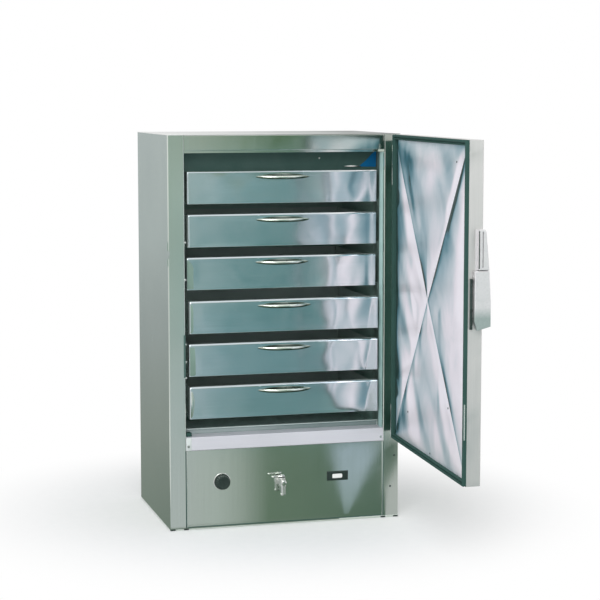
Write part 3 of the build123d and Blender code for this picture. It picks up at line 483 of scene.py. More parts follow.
def heads(name, places, axis, radius, height, material, body="cabinet"):
    """Round heads of screws or rivets, each with a recess in its middle."""
    profile = [
        (-0.6, 0.94 * radius), (0.0, radius), (0.45 * height, 0.97 * radius), (0.85 * height, 0.78 * radius),
        (height, 0.5 * radius), (0.6 * height, 0.4 * radius), (0.55 * height, 0.06 * radius),
    ]
    shape = bmesh.new()
    for place in places:
        turned(shape, place, axis, profile, 20)
    piece(name, shape, material, body, sharp=45.0)


def rounded(width, height, radius, steps=6):
    """Points round a rectangle with rounded corners."""
    points = []
    for quarter, (x, z) in enumerate(((1, 1), (-1, 1), (-1, -1), (1, -1))):
        for step in range(steps + 1):
            angle = math.pi / 2 * (quarter + step / steps)
            points.append((
                x * (width / 2 - radius) + radius * math.cos(angle),
                z * (height / 2 - radius) + radius * math.sin(angle),
            ))
    return points


def upright(name, sections, spans, material, body="cabinet", place=Vector):
    """Upright strips: each section of (x, y) points runs over each span of heights."""
    stacks = [
        [[place((x, y, z)) for x, y in section] for z in span] for section in sections for span in spans
    ]
    stacked(name, stacks, material, body, sharp=35.0)


def level(name, section, ends, material, sharp=40.0):
    """Level strip: a section of (y, z) points runs between two ends in x."""
    stack = [[(x, y, z) for y, z in section] for x in ends]
    stacked(name, [stack], material, sharp=sharp)


def frame_sweep(shape, half, low, high, profile, place):
    """Sweeps a profile of (inset, rise) points round a rectangle with mitred corners."""
    loops = []
    for x, z in ((-1, 0), (1, 0), (1, 1), (-1, 1)):
        loop = []
        for inset, rise in profile:
            height = low + inset if z == 0 else high - inset
            loop.append(place((x * (half - inset), rise, height)))
        loops.append(loop)
    round_ring(shape, loops)


def mirrored(section):
    return [(-x, y) for x, y in section]


def wavy(u, v, seed, size):
    """Smooth height from -1 to 1 for a place on a sheet."""
    return noise.noise(Vector((u * size, v * size, seed)))


def eased(value, start, end):
    """0 to 1 with soft ends."""
    share = max(0.0, min(1.0, (value - start) / (end - start)))
    return share * share * (3.0 - 2.0 * share)


def door_sheet():
    """Cross-broken inner sheet of the door: four slack cushions that meet at two diagonal folds."""
    half = DOOR_HALF - GASKET_WIDTH + SHEET_LAP
    middle_z = (DOOR_BOTTOM + DOOR_TOP) / 2
    tall = (DOOR_TOP - DOOR_BOTTOM) / 2 - GASKET_WIDTH + SHEET_LAP
    diagonal = math.hypot(half, tall)
    shape = bmesh.new()
    steps = 64
    known = {}

    def rise(u, v):
        x, z = half * u, tall * v
        rim = min((half - x) / 120.0, (half + x) / 70.0, (tall - abs(z)) / 34.0)
        fold = abs(abs(x) * tall - abs(z) * half) / diagonal
        edge = 1.0 - math.exp(-rim)
        crease = 1.4 * (1.0 - math.exp(-fold / 16.0))
        pillow = 2.9 * (1.0 - (1.0 - min(1.0, fold / 130.0)) ** 2)
        # Rolled edge at the hinge side, of uneven width
        roll = 24.0 + 30.0 * math.exp(-((v - 0.15) / 0.17) ** 2) + 18.0 * max(-0.6, wavy(0.0, v, 9.1, 4.2))
        hinge = 0.125 * roll * (1.0 - math.exp((x - half) / roll)) * (1.0 - eased(half - x, 100.0, 300.0))
        # Long bent waves beside the diagonals, and broad swells
        bend = 36.0 * wavy(u, v, 5.9, 1.5)
        across, run = (x * tall - z * half) / diagonal, (x * half + z * tall) / diagonal
        share = 0.25 + 0.9 * eased(u, -0.1, 0.5) + 0.5 * eased(-v, 0.1, 0.6) * eased(u, -0.8, -0.3)
        slack = 3.0 * share * noise.noise(Vector(((across + bend) / 80.0, (run + bend) / 330.0, 4.2)))
        slack += 1.7 * wavy(1.2 * u + 0.4 * v, 1.9 * v, 3.1, 1.4) + 0.4 * wavy(u - v, 2.2 * v, 7.7, 3.1)
        for middle_u, middle_v, wide_u, wide_v, lift in DOOR_SWELLS:
            slack += lift * math.exp(-((u - middle_u) / wide_u) ** 2 - ((v - middle_v) / wide_v) ** 2)
        height = 4.0 * (1.0 - max(abs(u), abs(v))) - 0.4 + hinge * min(1.0, (tall - abs(z)) / 30.0)
        height += max(-0.3, (crease + pillow + slack * min(1.0, fold / 30.0)) * edge)
        # Softly limited by the room that the drawers and their handles leave
        room = 5.1 + 6.0 * max(eased(abs(x), 105.0, 200.0), eased(z, -30.0, 40.0))
        return -math.log(math.exp(-1.6 * height) + math.exp(-1.6 * room)) / 1.6

    def corner(u, v):
        key = (round(u, 5), round(v, 5))
        if key not in known:
            place = (half * u, DOOR_INNER + 0.4 + rise(u, v), middle_z + tall * v)
            known[key] = shape.verts.new(hung(place) * MM)
        return known[key]

    for turn in range(4):
        for row in range(steps):
            for column in range(-row - 1, row + 1):
                near, far = row / steps, (row + 1) / steps
                quad = [(near, column), (far, column), (far, column + 1), (near, column + 1)]
                points = []
                for out, side in quad:
                    limit = row if out == near else row + 1
                    side = max(-limit, min(limit, side))
                    u, v = out, side / steps
                    for _ in range(turn):
                        u, v = -v, u
                    points.append(corner(u, v))
                unique = list(dict.fromkeys(points))
                if len(unique) > 2 and shape.faces.get(unique) is None:
                    shape.faces.new(unique)
    folds = {vert for (u, v), vert in known.items() if abs(abs(u) - abs(v)) < 1e-4}
    for edge in shape.edges:
        if edge.verts[0] in folds and edge.verts[1] in folds:
            edge.smooth = False
    piece("door_inner_sheet", shape, DOOR_SHEET, "door", ["door_liner"])
    places = [
        hung((x, DOOR_INNER + 0.3 + rise(x / half, (z - middle_z) / tall), z))
        for x, z in ((190.0, 392.0), (-210.0, 471.0), (-30.0, 303.0), (-275.0, 1185.0))
    ]
    heads("door_rivets", places, DOOR_TURN @ Vector((0, 1, 0)), 3.2, 1.2, DARK_METAL, "door")


def gasket():
    """Door seal: a hollow bulb and a lip, with a groove between them."""
    profile = [
        (0.3, 0.2), (0.3, 2.6), (1.4, 3.6), (1.6, 4.6), (0.7, 6.4), (0.6, 8.6), (1.4, 10.8), (3.0, 11.7),
        (5.2, 11.8), (7.2, 10.9), (8.2, 9.0), (8.4, 6.6), (9.0, 5.8), (9.8, 6.2), (10.6, 8.0), (12.0, 9.2),
        (13.8, 9.0), (15.0, 7.4), (15.4, 5.4), (15.2, 3.6), (16.0, 2.0), (16.4, 0.5), (16.2, 0.2),
    ]
    shape = bmesh.new()
    frame_sweep(
        shape, DOOR_HALF, DOOR_BOTTOM, DOOR_TOP, profile,
        lambda point: hung((point[0], DOOR_INNER + point[1], point[2])),
    )
    piece("door_seal", shape, RUBBER, "door", ["door_gasket"], 40.0)


def hinge_side():
    """Dark strip of painted shade along the hinge side of the door, and bright strips on the seal."""
    # Dark strip on the door's hinge edge: painted shade
    edge = [
        (378.2, -262.6), (379.0, -263.2), (379.5, -266.0), (378.9, -270.0), (378.9, -296.0), (379.5, -299.0),
        (379.0, -301.6), (378.2, -302.2), (377.4, -302.2), (377.4, -262.6),
    ]
    upright("door_hinge_shade_strip", [edge], [(DOOR_BOTTOM + 0.5, 1226.0)], HINGE_EDGE_SHADE, "door", hung)
    hinge_seal_strip = [
        (371.6, -251.4), (371.6, -250.5), (372.2, -250.2), (375.4, -250.2), (376.0, -250.5), (376.0, -251.4),
    ]
    upright("seal_bright_strips", [hinge_seal_strip], [(277.0, 385.0), (1090.0, 1215.0)], BEAD, "door", hung)
    free_seal_strip = [
        (-377.0, -256.6), (-377.8, -256.6), (-378.0, -256.0), (-378.0, -253.8), (-377.8, -253.2),
        (-377.0, -253.2),
    ]
    upright("seal_bright_strip_free", [free_seal_strip], [(408.0, 510.0)], BEAD, "door", hung)


def opening_trim():
    """Plastic strip on the right of the opening; on its left a near-black plate of painted shade, with bright
    studs.
    """
    strip = [
        (326.8, -236.4), (325.6, -236.8), (325.0, -235.6), (321.2, -219.6), (320.8, -217.6), (321.4, -216.2),
        (326.8, -215.2),
    ]
    upright("jamb_strip", [strip], [(SILL_TOP + 0.5, CEILING - 8.5)], STRIP)
    seam = [
        (326.2, FRONT + 0.2), (326.2, FRONT - 0.3), (326.6, FRONT - 0.5), (327.4, FRONT - 0.5),
        (327.8, FRONT - 0.3), (327.8, FRONT + 0.2),
    ]
    upright("rail_seam", [seam], [(CEILING - 7.0, HEIGHT - 3.0)], DARK_METAL)
    # Near-black plate in the left jamb: painted shade
    plate = [
        (-332.4, FRONT + 0.2), (-332.4, FRONT - 0.4), (-331.8, FRONT - 0.8), (-326.6, FRONT - 0.8),
        (-326.4, FRONT - 0.4), (-326.4, FRONT + 12.0), (-327.2, FRONT + 12.0), (-327.2, FRONT + 0.2),
    ]
    upright("jamb_shade_plate", [plate], [(489.0, 624.0)], SHADE_DARK)
    places = [(-326.8, -241.0, z) for z in (914.0, 797.0, 593.0, 537.0, 487.0)]
    heads("jamb_studs", places, (1, 0, 0), 4.4, 6.0, BRIGHT)


def coil_shade_cover():
    """Folded near-black cover before the coil, a sheet of painted shade, with its screw and catch and a
    corner of blue protective film.
    """
    near, low, high = COIL_SHADE_COVER_Y, 1130.4, CEILING - 0.4
    section = [
        (near + 6.0, high), (near, high), (near, low + 3.0), (near + 3.0, low), (near + 40.0, low),
        (near + 40.0, low + 1.2), (near + 3.6, low + 1.2), (near + 1.2, low + 3.6), (near + 1.2, high - 1.2),
        (near + 6.0, high - 1.2),
    ]
    level("coil_shade_cover", section, (-326.4, 326.0), SHADE_DARK, 30.0)
    heads("cover_screws", [(134.0, near, 1172.0)], (0, -1, 0), 3.4, 1.6, BRIGHT)
    film = [
        (266.0, 1143.0, 0.3), (324.0, 1142.0, 1.4), (325.0, 1166.0, 0.6), (325.0, 1194.0, 1.8),
        (310.0, 1183.0, 0.5), (290.0, 1162.0, 1.2),
    ]
    stack = [[(x, near + 0.1, z) for x, z, _ in film], [(x, near - 0.4 - lift, z) for x, z, lift in film]]
    stacked("film_corner", [stack], FILM, sharp=50.0)
    lip = [(near + 0.2, -3.0), (near - 1.8, -3.4), (near - 2.6, -1.6), (near - 1.6, 2.6), (near + 0.2, 3.4)]
    stack = [
        [(x, y, 1144.5 + share * z) for y, z in lip]
        for x, share in ((214.0, 0.2), (222.0, 0.7), (240.0, 1.0), (258.0, 0.8), (274.0, 0.15))
    ]
    stacked("cover_catch", [stack], BRIGHT)


def drawer(number):
    """Name, top edge and front of a drawer."""
    return "drawer_%d" % (number + 1), DRAWER_TOPS[number], DRAWER_FRONTS[number]


def bow(t):
    """How far the handle's bar stands out, from -1 at one foot to 1 at the other."""
    return HANDLE_REACH * max(0.0, 1.0 - abs(t) ** 2.6)


def bow_handle(number):
    """Bow handle over a plate of painted shadow: a drooping bar, full in the middle, with flat, tapering
    ends.
    """
    name, top, near = drawer(number)
    middle_z = top - HANDLE_SHADOW_DROP
    outline = [
        (HANDLE_SHADOW_HALF * across, middle_z + HANDLE_SHADOW_RISE * up * (1.0 - 0.25 * across ** 2))
        for across, up in circle(40)
    ]
    stack = [
        [(x, near - 1.0, z) for x, z in outline],
        [(x, near - 2.5, z) for x, z in outline],
        [(0.985 * x, near - 2.9, middle_z + 0.9 * (z - middle_z)) for x, z in outline],
    ]
    stacked(name + "_handle_shadow_plate", [stack], HANDLE_SHADOW, name)
    loops = []
    for step in range(57):
        t = step / 28 - 1.0
        out = bow(t)
        slope = (bow(t + 0.01) - bow(t - 0.01)) / (0.02 * HANDLE_HALF)
        full = 1.0 - abs(t) ** 4
        tall, deep = 2.4 + 3.6 * full, 1.4 + 2.2 * full
        along_x = Vector((1.0, -slope, 0.0)).normalized()
        along_y = Vector((along_x.y, -along_x.x, 0.0))
        middle = Vector((HANDLE_HALF * t, near - 1.6 - out, top - 18.6 - 1.6 * out / HANDLE_REACH))
        loops.append([middle + along_y * deep * a + Vector((0, 0, tall)) * b for a, b in circle(16)])
    stacked(name + "_bow", [loops], HANDLE, name, [name + "_handle"], 50.0)


def drawer_face(number):
    """Thin front sheet of a drawer, bowed and uneven, with a hem at its top and a flared right end."""
    name, top, near = drawer(number)
    columns, rows = 100, 16
    # Lines up the sheet: share of its height, place below the top edge and how far the hem stands out
    flat = DRAWER_HEIGHT - 6.0
    lines = [(row / rows, 0.6 - DRAWER_HEIGHT + flat * row / rows, 0.0) for row in range(rows + 1)]
    hem = [(-5.2, 0.7), (-4.5, 1.1), (-3.7, 1.0), (-0.8, -1.0), (0.2, -1.7)]
    lines += [(1.0, rise, extra) for rise, extra in hem]
    left_end, right_end = DRAWER_LEFTS[number], DRAWER_HALF - 0.6
    stations = [left_end + step for step in (0.0, 0.5, 1.1, 1.8, 2.8, 5.0)]
    start = left_end + 10.0
    stations += [start + (right_end - left_end - 10.0) * column / columns for column in range(columns + 1)]
    shape = bmesh.new()
    grid = []
    for v, rise, extra in lines:
        line = []
        for x in stations:
            u = x / DRAWER_HALF
            rolled = max(0.0, 1.0 - (x - left_end) / 2.8) ** 2
            ends = min(1.0, (x - left_end) / 40.0, (right_end - x) / 40.0)
            edge = min(1.0, min(v, 1.0 - v) * DRAWER_HEIGHT / 9.0)
            slack = DRAWER_SLACKS[number] * wavy(1.1 * u, 0.5 * v, 11.0 + 5.3 * number, 1.5)
            slack += (0.20 + 0.50 * eased(u, 0.30, 0.55)) * wavy(2.5 * u, 1.1 * v, 2.0 + 3.1 * number, 1.7)
            flare = max(0.0, u - DRAWER_TURNS[number] - DRAWER_LEANS[number] * v) * DRAWER_FLARES[number]
            reach = max(0.0, min(1.0, (x - BOW_START) / (BOW_END - BOW_START)))
            belly = DRAWER_BOWS[number] * reach ** 2 * (1.6 - 0.6 * reach ** 3)
            out = 1.9 - 0.9 * rolled + slack * ends * edge + belly + flare + extra
            line.append(shape.verts.new(Vector((x, near - out, top + rise)) * MM))
        grid.append(line)
    for below, above in zip(grid, grid[1:]):
        for column in range(len(stations) - 1):
            shape.faces.new((below[column], below[column + 1], above[column + 1], above[column]))
    border = [edge for edge in shape.edges if edge.is_boundary]
    pulled = bmesh.ops.extrude_edge_only(shape, edges=border)["geom"]
    for vert in pulled:
        if isinstance(vert, bmesh.types.BMVert):
            vert.co.y = (near + 0.4) * MM
    piece(name + "_face", shape, DRAWER, name, sharp=35.0)


def drawer_end(number, material, outline):
    """Plate over the left end of a drawer's front, coloured as a painted reflection of the stile. The outline
    is (x, drop below the top edge).
    """
    name, top, near = drawer(number)
    middle_x = sum(x for x, _ in outline) / len(outline)
    middle_drop = sum(drop for _, drop in outline) / len(outline)
    stack = []
    for out, shrink in ((1.2, 0.0), (2.4, 0.0), (2.8, 0.03)):
        stack.append([
            (x + (middle_x - x) * shrink, near - out, top - drop - (middle_drop - drop) * shrink)
            for x, drop in outline
        ])
    stacked(name + "_end", [stack], material, name, sharp=35.0)


def sill_and_foot():
    """Tab and dark rubber block at the sill's left end, pan lip, the access panel's beads and seals, feet,
    screws.
    """
    middle_z, tall = (SILL_BOTTOM + SILL_TOP) / 2, SILL_TOP - SILL_BOTTOM - 1.4
    stack = [
        [(SILL_TAB_X + x, y, middle_z + z) for x, z in rounded(17.4 - shrink, tall - shrink, 2.0)]
        for y, shrink in ((FRONT + 0.1, 0.0), (FRONT - 0.2, 0.0), (FRONT - 0.4, 0.6))
    ]
    stacked("sill_tabs", [stack], TAB)
    stack = []
    for rise, shrink in ((-0.2, 0.0), (9.0, 0.0), (11.0, 2.4)):
        outline = rounded(20.0 - shrink, 30.0 - shrink, 5.0 - shrink / 2)
        stack.append([(DARK_BLOCK_X + x, DARK_BLOCK_Y + y, SILL_TOP + rise) for x, y in outline])
    stacked("sill_dark_blocks", [stack], RUBBER)
    lip = [
        (-189.4, 298.0), (-189.6, 298.6), (-189.6, 310.6), (-190.3, 311.8), (-190.6, 313.4), (-190.0, 314.8),
        (-188.6, 315.4), (-187.2, 315.2), (-186.6, 314.4), (-187.2, 314.2), (-188.7, 314.2), (-188.7, 298.0),
    ]
    level("pan_lip", lip, (-326.2, 324.6), LIP, 50.0)
    angles = [math.pi * step / 8 for step in range(9)]
    bead = [(326.2 - 1.7 - 1.7 * math.cos(angle), FRONT - 1.7 * math.sin(angle)) for angle in angles]
    span = (PANEL_BOTTOM + 0.6, SILL_BOTTOM - 0.4)
    upright("panel_beads", [bead, mirrored(bead)], [span], BEAD)
    seal = [
        (326.3, FRONT + 0.2), (326.3, FRONT - 0.5), (327.0, FRONT - 0.8), (328.6, FRONT - 0.6),
        (328.8, FRONT + 0.2),
    ]
    span = (PANEL_BOTTOM, SILL_BOTTOM - 2.0)
    upright("panel_seals", [seal, mirrored(seal)], [span], RUBBER)
    line = [
        (FRONT + 0.1, 7.2), (FRONT - 0.5, 7.4), (FRONT - 0.8, 8.6), (FRONT - 0.5, 9.8), (FRONT + 0.1, 10.0),
    ]
    level("panel_foot_seal", line, (-326.0, 326.0), RUBBER)
    stacks = [
        [
            [(middle_x + x, y, 2.7 + z) for x, z in rounded(17.0 - shrink, 5.2 - shrink, 1.4)]
            for y, shrink in ((FRONT + 14.0, 0.0), (FRONT + 0.4, 0.0), (FRONT - 1.0, 1.6))
        ]
        for middle_x in (-371.0, -328.0, 328.0, 371.0)
    ]
    stacked("foot_caps", stacks, BLACK)
    places = [(365.0, FRONT, 205.0), (352.0, FRONT, 103.0)]
    heads("stile_screws", places, (0, -1, 0), 3.4, 1.4, DARK_METAL)


def back_frame():
    """Flange folded round the back panel, with its screws."""
    shape = bmesh.new()
    frame_sweep(
        shape, HALF_WIDTH - 1.0, 1.0, HEIGHT - 2.0,
        [(0.0, -0.2), (0.0, 0.6), (0.5, 1.0), (13.4, 1.0), (14.0, 0.5), (14.0, -0.2)],
        lambda point: Vector((point[0], BACK + point[1], point[2])),
    )
    piece("back_flange", shape, CARCASS, sharp=40.0)
    heights = (40.0, 280.0, 520.0, 760.0, 1000.0, 1210.0)
    places = [(x, BACK + 1.0, z) for x in (-372.0, 372.0) for z in heights]
    places += [(x, BACK + 1.0, 1241.0) for x in (-240.0, 0.0, 240.0)]
    places += [(x, BACK + 1.5, z) for x in (-306.0, 306.0) for z in (19.0, 241.0)]
    heads("back_screws", places, (0, 1, 0), 4.0, 1.8, SCREWS)


def knob():
    """Thermostat knob: fluted grip on a skirt, dished face with a raised pointer, bright ring behind it."""
    shape = bmesh.new()
    turned(shape, KNOB, (0, -1, 0), [
        (0.0, 23.6), (0.5, 25.0), (3.0, 25.0), (4.0, 24.2, 0.1), (5.0, 23.4, 1.0), (18.4, 21.8, 1.0),
        (20.3, 20.8, 0.6), (21.5, 19.2), (21.9, 17.0), (21.5, 15.6), (20.9, 13.0), (20.7, 0.4),
    ], 160, 20, 1.2)
    pointer = [(1.6, 4.0), (1.9, 18.0), (0.9, 19.4), (-0.9, 19.4), (-1.9, 18.0), (-1.6, 4.0)]
    rings(shape, [[KNOB + Vector((x, -out, z)) for x, z in pointer] for out in (20.6, 22.0)])
    piece("knob_grip", shape, BLACK, "thermostat_knob", ["thermostat_knob"], 32.0)
    profile = [(24.0, 0.0), (24.0, -0.9), (25.6, -1.2), (27.4, -1.0), (28.0, -0.4), (28.0, 0.0)]
    shape = bmesh.new()
    round_ring(shape, [
        [(KNOB.x + radius * a, FRONT + y, KNOB.z + radius * b) for a, b in circle(72)]
        for radius, y in profile
    ])
    piece("knob_ring", shape, BRIGHT, sharp=40.0)


def tap():
    """Drain tap: hexagon collar, domed nose, spout lip, valve cap and a cast lever with a broad end."""
    shape = bmesh.new()
    for middle, axis, sides, profile in (
        ((TAP_X, FRONT - 4.0, TAP_Z), (0, -1, 0), 6,
         [(-0.4, 9.0), (-0.4, 13.4), (0.6, 14.6), (5.6, 14.6), (6.8, 13.4), (7.2, 9.0)]),
        ((TAP_X, -296.0, TAP_Z), (0, -1, 0), 32,
         [(-3.0, 9.2), (-0.2, 9.2), (1.0, 8.6), (1.9, 7.0), (2.4, 4.0), (2.5, 0.4)]),
        ((TAP_X, TAP_SPOUT_Y, 108.5), (0, 0, -1), 32,
         [(0.0, 8.0), (0.6, 9.0), (4.8, 9.2), (6.0, 8.6), (6.4, 6.6), (5.6, 5.2), (2.0, 5.0)]),
        ((TAP_X, TAP_VALVE_Y, 157.0), (0, 0, 1), 32,
         [(-5.0, 10.2), (-4.0, 11.2), (0.0, 11.2), (1.0, 10.2)]),
    ):
        turned(shape, middle, axis, profile, sides)
    piece("tap_trim", shape, BRIGHT, sharp=38.0)
    # Sections along the lever: share of its length, half width, half thickness and droop
    sections = (
        (-0.26, 5.0, 2.0, 0.0), (-0.24, 7.4, 3.2, 0.0), (-0.12, 9.0, 3.8, 0.0), (0.0, 9.4, 4.0, 0.0),
        (0.18, 8.0, 3.8, 0.0), (0.34, 5.4, 3.4, 0.1), (0.5, 4.6, 3.2, 0.3), (0.68, 5.4, 3.2, 0.6),
        (0.82, 6.8, 3.2, 0.8), (0.93, 6.8, 3.0, 1.0), (0.99, 5.4, 2.4, 1.0), (1.01, 3.0, 1.2, 1.0),
    )
    loops = []
    for share, wide, thick, droop in sections:
        x, z = TAP_X - TAP_LEVER_LENGTH * share, TAP_LEVER_Z - droop
        loops.append([(x, TAP_VALVE_Y + wide * a, z + thick * b) for a, b in circle(20)])
    shape = bmesh.new()
    rings(shape, loops)
    nut = [(0.0, 4.6), (1.6, 4.6), (2.4, 3.8), (2.7, 2.0), (2.7, 0.3)]
    turned(shape, (TAP_X, TAP_VALVE_Y, 164.5), (0, 0, 1), nut, 6)
    piece("tap_lever_cast", shape, BRIGHT, "tap_lever", ["tap_lever"], 45.0)


def thermometer():
    """Black mask with a round-cornered window over the display, and the unlit segments of three figures."""
    shape = bmesh.new()
    round_ring(shape, [
        [THERMOMETER + Vector((shift + x, -out, z)) for x, z in rounded(width, height, radius)]
        for width, height, radius, shift, out in (
            (62.0, 25.0, 3.0, 0.0, -0.2), (62.0, 25.0, 3.0, 0.0, 0.7), (60.6, 23.6, 2.6, 0.0, 1.1),
            (37.0, 16.4, 5.4, -2.0, 1.1), (34.4, 14.0, 4.6, -2.0, 0.5), (34.4, 14.0, 4.6, -2.0, -0.2),
        )
    ])
    piece("thermometer_mask", shape, BLACK, sharp=35.0)
    segments = [(0.0, z, 4.0, 0.8) for z in (4.4, 0.0, -4.4)]
    segments += [(x, z, 0.8, 3.4) for z in (2.2, -2.2) for x in (-2.6, 2.6)]
    stacks = [
        [
            [THERMOMETER + Vector((figure + x + a, -out, z + b)) for a, b in rounded(wide, tall, 0.35, 3)]
            for out in (-0.05, 0.06)
        ]
        for figure in (-10.5, -1.5, 7.5) for x, z, wide, tall in segments
    ]
    stacked("thermometer_segments", stacks, SEGMENTS)


def latch():
    """Slide ribs on the latch housing, a black strip of painted shade along its slot, and the dark works
    beside the paddle.
    """
    housing = nodes["latch_housing"].data
    points = [vert.co for vert in housing.vertices]
    surface = BVHTree.FromPolygons(points, [face.vertices for face in housing.polygons])
    for name, middles, wide, high, finish, slot in (
        ("latch_ribs", (325.6, 332.4), 1.7, 1.0, CASTING, "latch_casting"),
        # Black strip along the slot: painted shade
        ("latch_slot_shade", (329.0,), 4.6, 0.25, BLACK, "black_plastic"),
    ):
        section = [
            (-wide / 2, 0.6), (-wide / 2, -0.6 * high), (-wide / 3, -high),
            (wide / 3, -high), (wide / 2, -0.6 * high), (wide / 2, 0.6),
        ]
        stacks = []
        for middle in middles:
            loops = []
            for step in range(22):
                z = 893.0 + 5.0 * step
                found = surface.ray_cast(Vector((middle * MM, -1.2, z * MM)), Vector((0, 1, 0)))[0]
                y = found.y / MM if found is not None else -1086.0
                loops.append([(middle + across, y + out, z) for across, out in section])
            stacks.append(loops)
        stacked(name, stacks, finish, "door")
    works = [
        (308.4, -1066.0), (308.4, -1070.6), (309.4, -1071.6), (314.4, -1071.6), (315.2, -1070.8),
        (315.2, -1066.0),
    ]
    upright("latch_backplate", [works], [(722.0, 864.0)], DARK_METAL, "door")
    stacks = [
        [
            [(311.8 + a, -1071.4 - depth, z + b) for a, b in rounded(5.6 - shrink, tall - shrink, 1.2)]
            for depth, shrink in ((0.0, 0.0), (0.75 * out, 0.0), (out, 1.0))
        ]
        for z, tall, out in (
            (857.0, 9.0, 3.4), (844.0, 5.0, 2.0), (776.0, 10.0, 3.2), (745.0, 24.0, 3.6), (726.0, 6.0, 2.4),
        )
    ]
    stacked("latch_works", stacks, BLACK, "door")


# Studio: white surroundings, a pale floor, a soft lamp and glowing toned cards that only the metal sees,
# which paint the reflections in it

def either(tree, share, one, other):
    """One shader where the share is 0 and the other where it is 1."""
    sockets = {"Fac": share, 1: one.outputs[0], 2: other.outputs[0]}
    return node(tree, "ShaderNodeMixShader", sockets).outputs[0]


def surroundings():
    world = bpy.data.worlds.new("studio")
    world.use_nodes = True
    scene.world = world
    tree = world.node_tree
    tree.nodes.clear()
    path = node(tree, "ShaderNodeLightPath")
    shown = weigh(tree, "MAXIMUM", path.outputs["Is Camera Ray"], path.outputs["Is Glossy Ray"])
    every = weigh(tree, "MAXIMUM", shown, path.outputs["Is Transmission Ray"])
    lighting = node(tree, "ShaderNodeBackground", {"Color": (0.70, 0.71, 0.72, 1.0)})
    white = node(tree, "ShaderNodeBackground", {"Color": (*WHITE, 1.0)})
    node(tree, "ShaderNodeOutputWorld", {"Surface": either(tree, every, lighting, white)})


def studio_floor():
    bpy.ops.mesh.primitive_grid_add(
        x_subdivisions=2, y_subdivisions=2, size=60.0, location=(0.0, 0.0, -0.0005),
    )
    floor = bpy.context.object
    floor.name = "studio_floor"
    made, tree, shader = new_material("floor")
    grain = clouds(tree, even(30.0), 3.0)
    wire(tree, shader, {
        "Roughness": 0.9, "Specular IOR Level": 0.1,
        "Base Color": ramp(tree, grain, [(0.3, (0.915, 0.92, 0.92)), (0.7, even(0.935))]),
    })
    reach = node(tree, "ShaderNodeVectorMath", {0: here(tree)}, operation="LENGTH").outputs["Value"]
    far = spread(tree, reach, 0.0, 1.0, WHITE_START, WHITE_END, "SMOOTHSTEP")
    surface = either(tree, far, shader, node(tree, "ShaderNodeEmission"))
    wire(tree, tree.nodes["Material Output"], {"Surface": surface})
    floor.data.materials.append(made)


def toned(name, grid, stops, fade):
    """Glowing sheet through a grid of points that only the metal sees, a painted reflection. Tones go across
    by stops, along by fade.
    """
    mesh = bpy.data.meshes.new(name)
    shape = bmesh.new()
    across = shape.loops.layers.uv.new("tones")
    made = [[shape.verts.new(point) for point in line] for line in grid]
    rows, columns = len(made) - 1, len(made[0]) - 1
    corners = ((0, 0), (1, 0), (1, 1), (0, 1))
    for row in range(rows):
        for column in range(columns):
            face = shape.faces.new([made[row + j][column + i] for i, j in corners])
            for loop, (i, j) in zip(face.loops, corners):
                loop[across].uv = ((column + i) / columns, (row + j) / rows)
    shape.to_mesh(mesh)
    shape.free()
    sheet = bpy.data.objects.new(name, mesh)
    scene.collection.objects.link(sheet)
    paint, tree, _ = new_material(name)
    tree.nodes.clear()
    place = node(tree, "ShaderNodeUVMap", uv_map="tones").outputs["UV"]
    split = node(tree, "ShaderNodeSeparateXYZ", {"Vector": place})
    colour = multiply(tree, ramp(tree, split.outputs["X"], stops), ramp(tree, split.outputs["Y"], fade))
    glow = node(tree, "ShaderNodeEmission", {"Color": colour})
    node(tree, "ShaderNodeOutputMaterial", {"Surface": glow.outputs[0]})
    mesh.materials.append(paint)
    sheet.visible_camera = False
    sheet.visible_diffuse = False
    sheet.visible_shadow = False
    sheet.visible_transmission = False


def card(name, eye, slopes, rows, stops, fade=PLAIN):
    """Toned card whose sides run along sight lines from eye, through rows of (y, z)."""
    columns = 24
    grid = []
    for y, z in rows:
        line = []
        for column in range(columns + 1):
            slope = slopes[0] + (slopes[1] - slopes[0]) * column / columns
            line.append((eye[0] + abs(y - eye[1]) * slope, y, z))
        grid.append(line)
    toned(name, grid, stops, fade)


def patch(name, corners, fade):
    """Glowing toned sheet on the floor that only the metal sees, between its far left, far right, near right
    and near left corners.
    """
    far_left, far_right, near_right, near_left = (Vector((x, y, PATCH_FLOOR)) for x, y in corners)
    steps = 8
    grid = []
    for row in range(steps + 1):
        left = far_left.lerp(near_left, row / steps)
        right = far_right.lerp(near_right, row / steps)
        grid.append([left.lerp(right, column / steps) for column in range(steps + 1)])
    toned(name, grid, PLAIN, fade)


def lamp(name, place, target, size, power):
    data = bpy.data.lights.new(name, "AREA")
    data.shape = "DISK"
    data.size = size
    data.energy = power
    made = bpy.data.objects.new(name, data)
    made.location = place
    made.rotation_euler = (Vector(target) - Vector(place)).to_track_quat("-Z", "Y").to_euler()
    scene.collection.objects.link(made)


def camera():
    data = bpy.data.cameras.new("camera")
    data.lens = CAMERA_LENS
    data.sensor_width = CAMERA_SENSOR
    data.clip_end = 200.0
    made = bpy.data.objects.new("camera", data)
    forward = Vector((
        math.sin(CAMERA_YAW) * math.cos(CAMERA_TILT), math.cos(CAMERA_YAW) * math.cos(CAMERA_TILT),
        -math.sin(CAMERA_TILT),
    ))
    made.location = CAMERA_PLACE
    made.rotation_euler = forward.to_track_quat("-Z", "Y").to_euler()
    scene.collection.objects.link(made)
    scene.camera = made


scene.view_settings.view_transform = "Standard"
camera()
surroundings()
studio_floor()
lamp("key_lamp", (-1.5, -4.4, 3.6), (0.1, -0.4, 0.6), 3.0, 125.0)

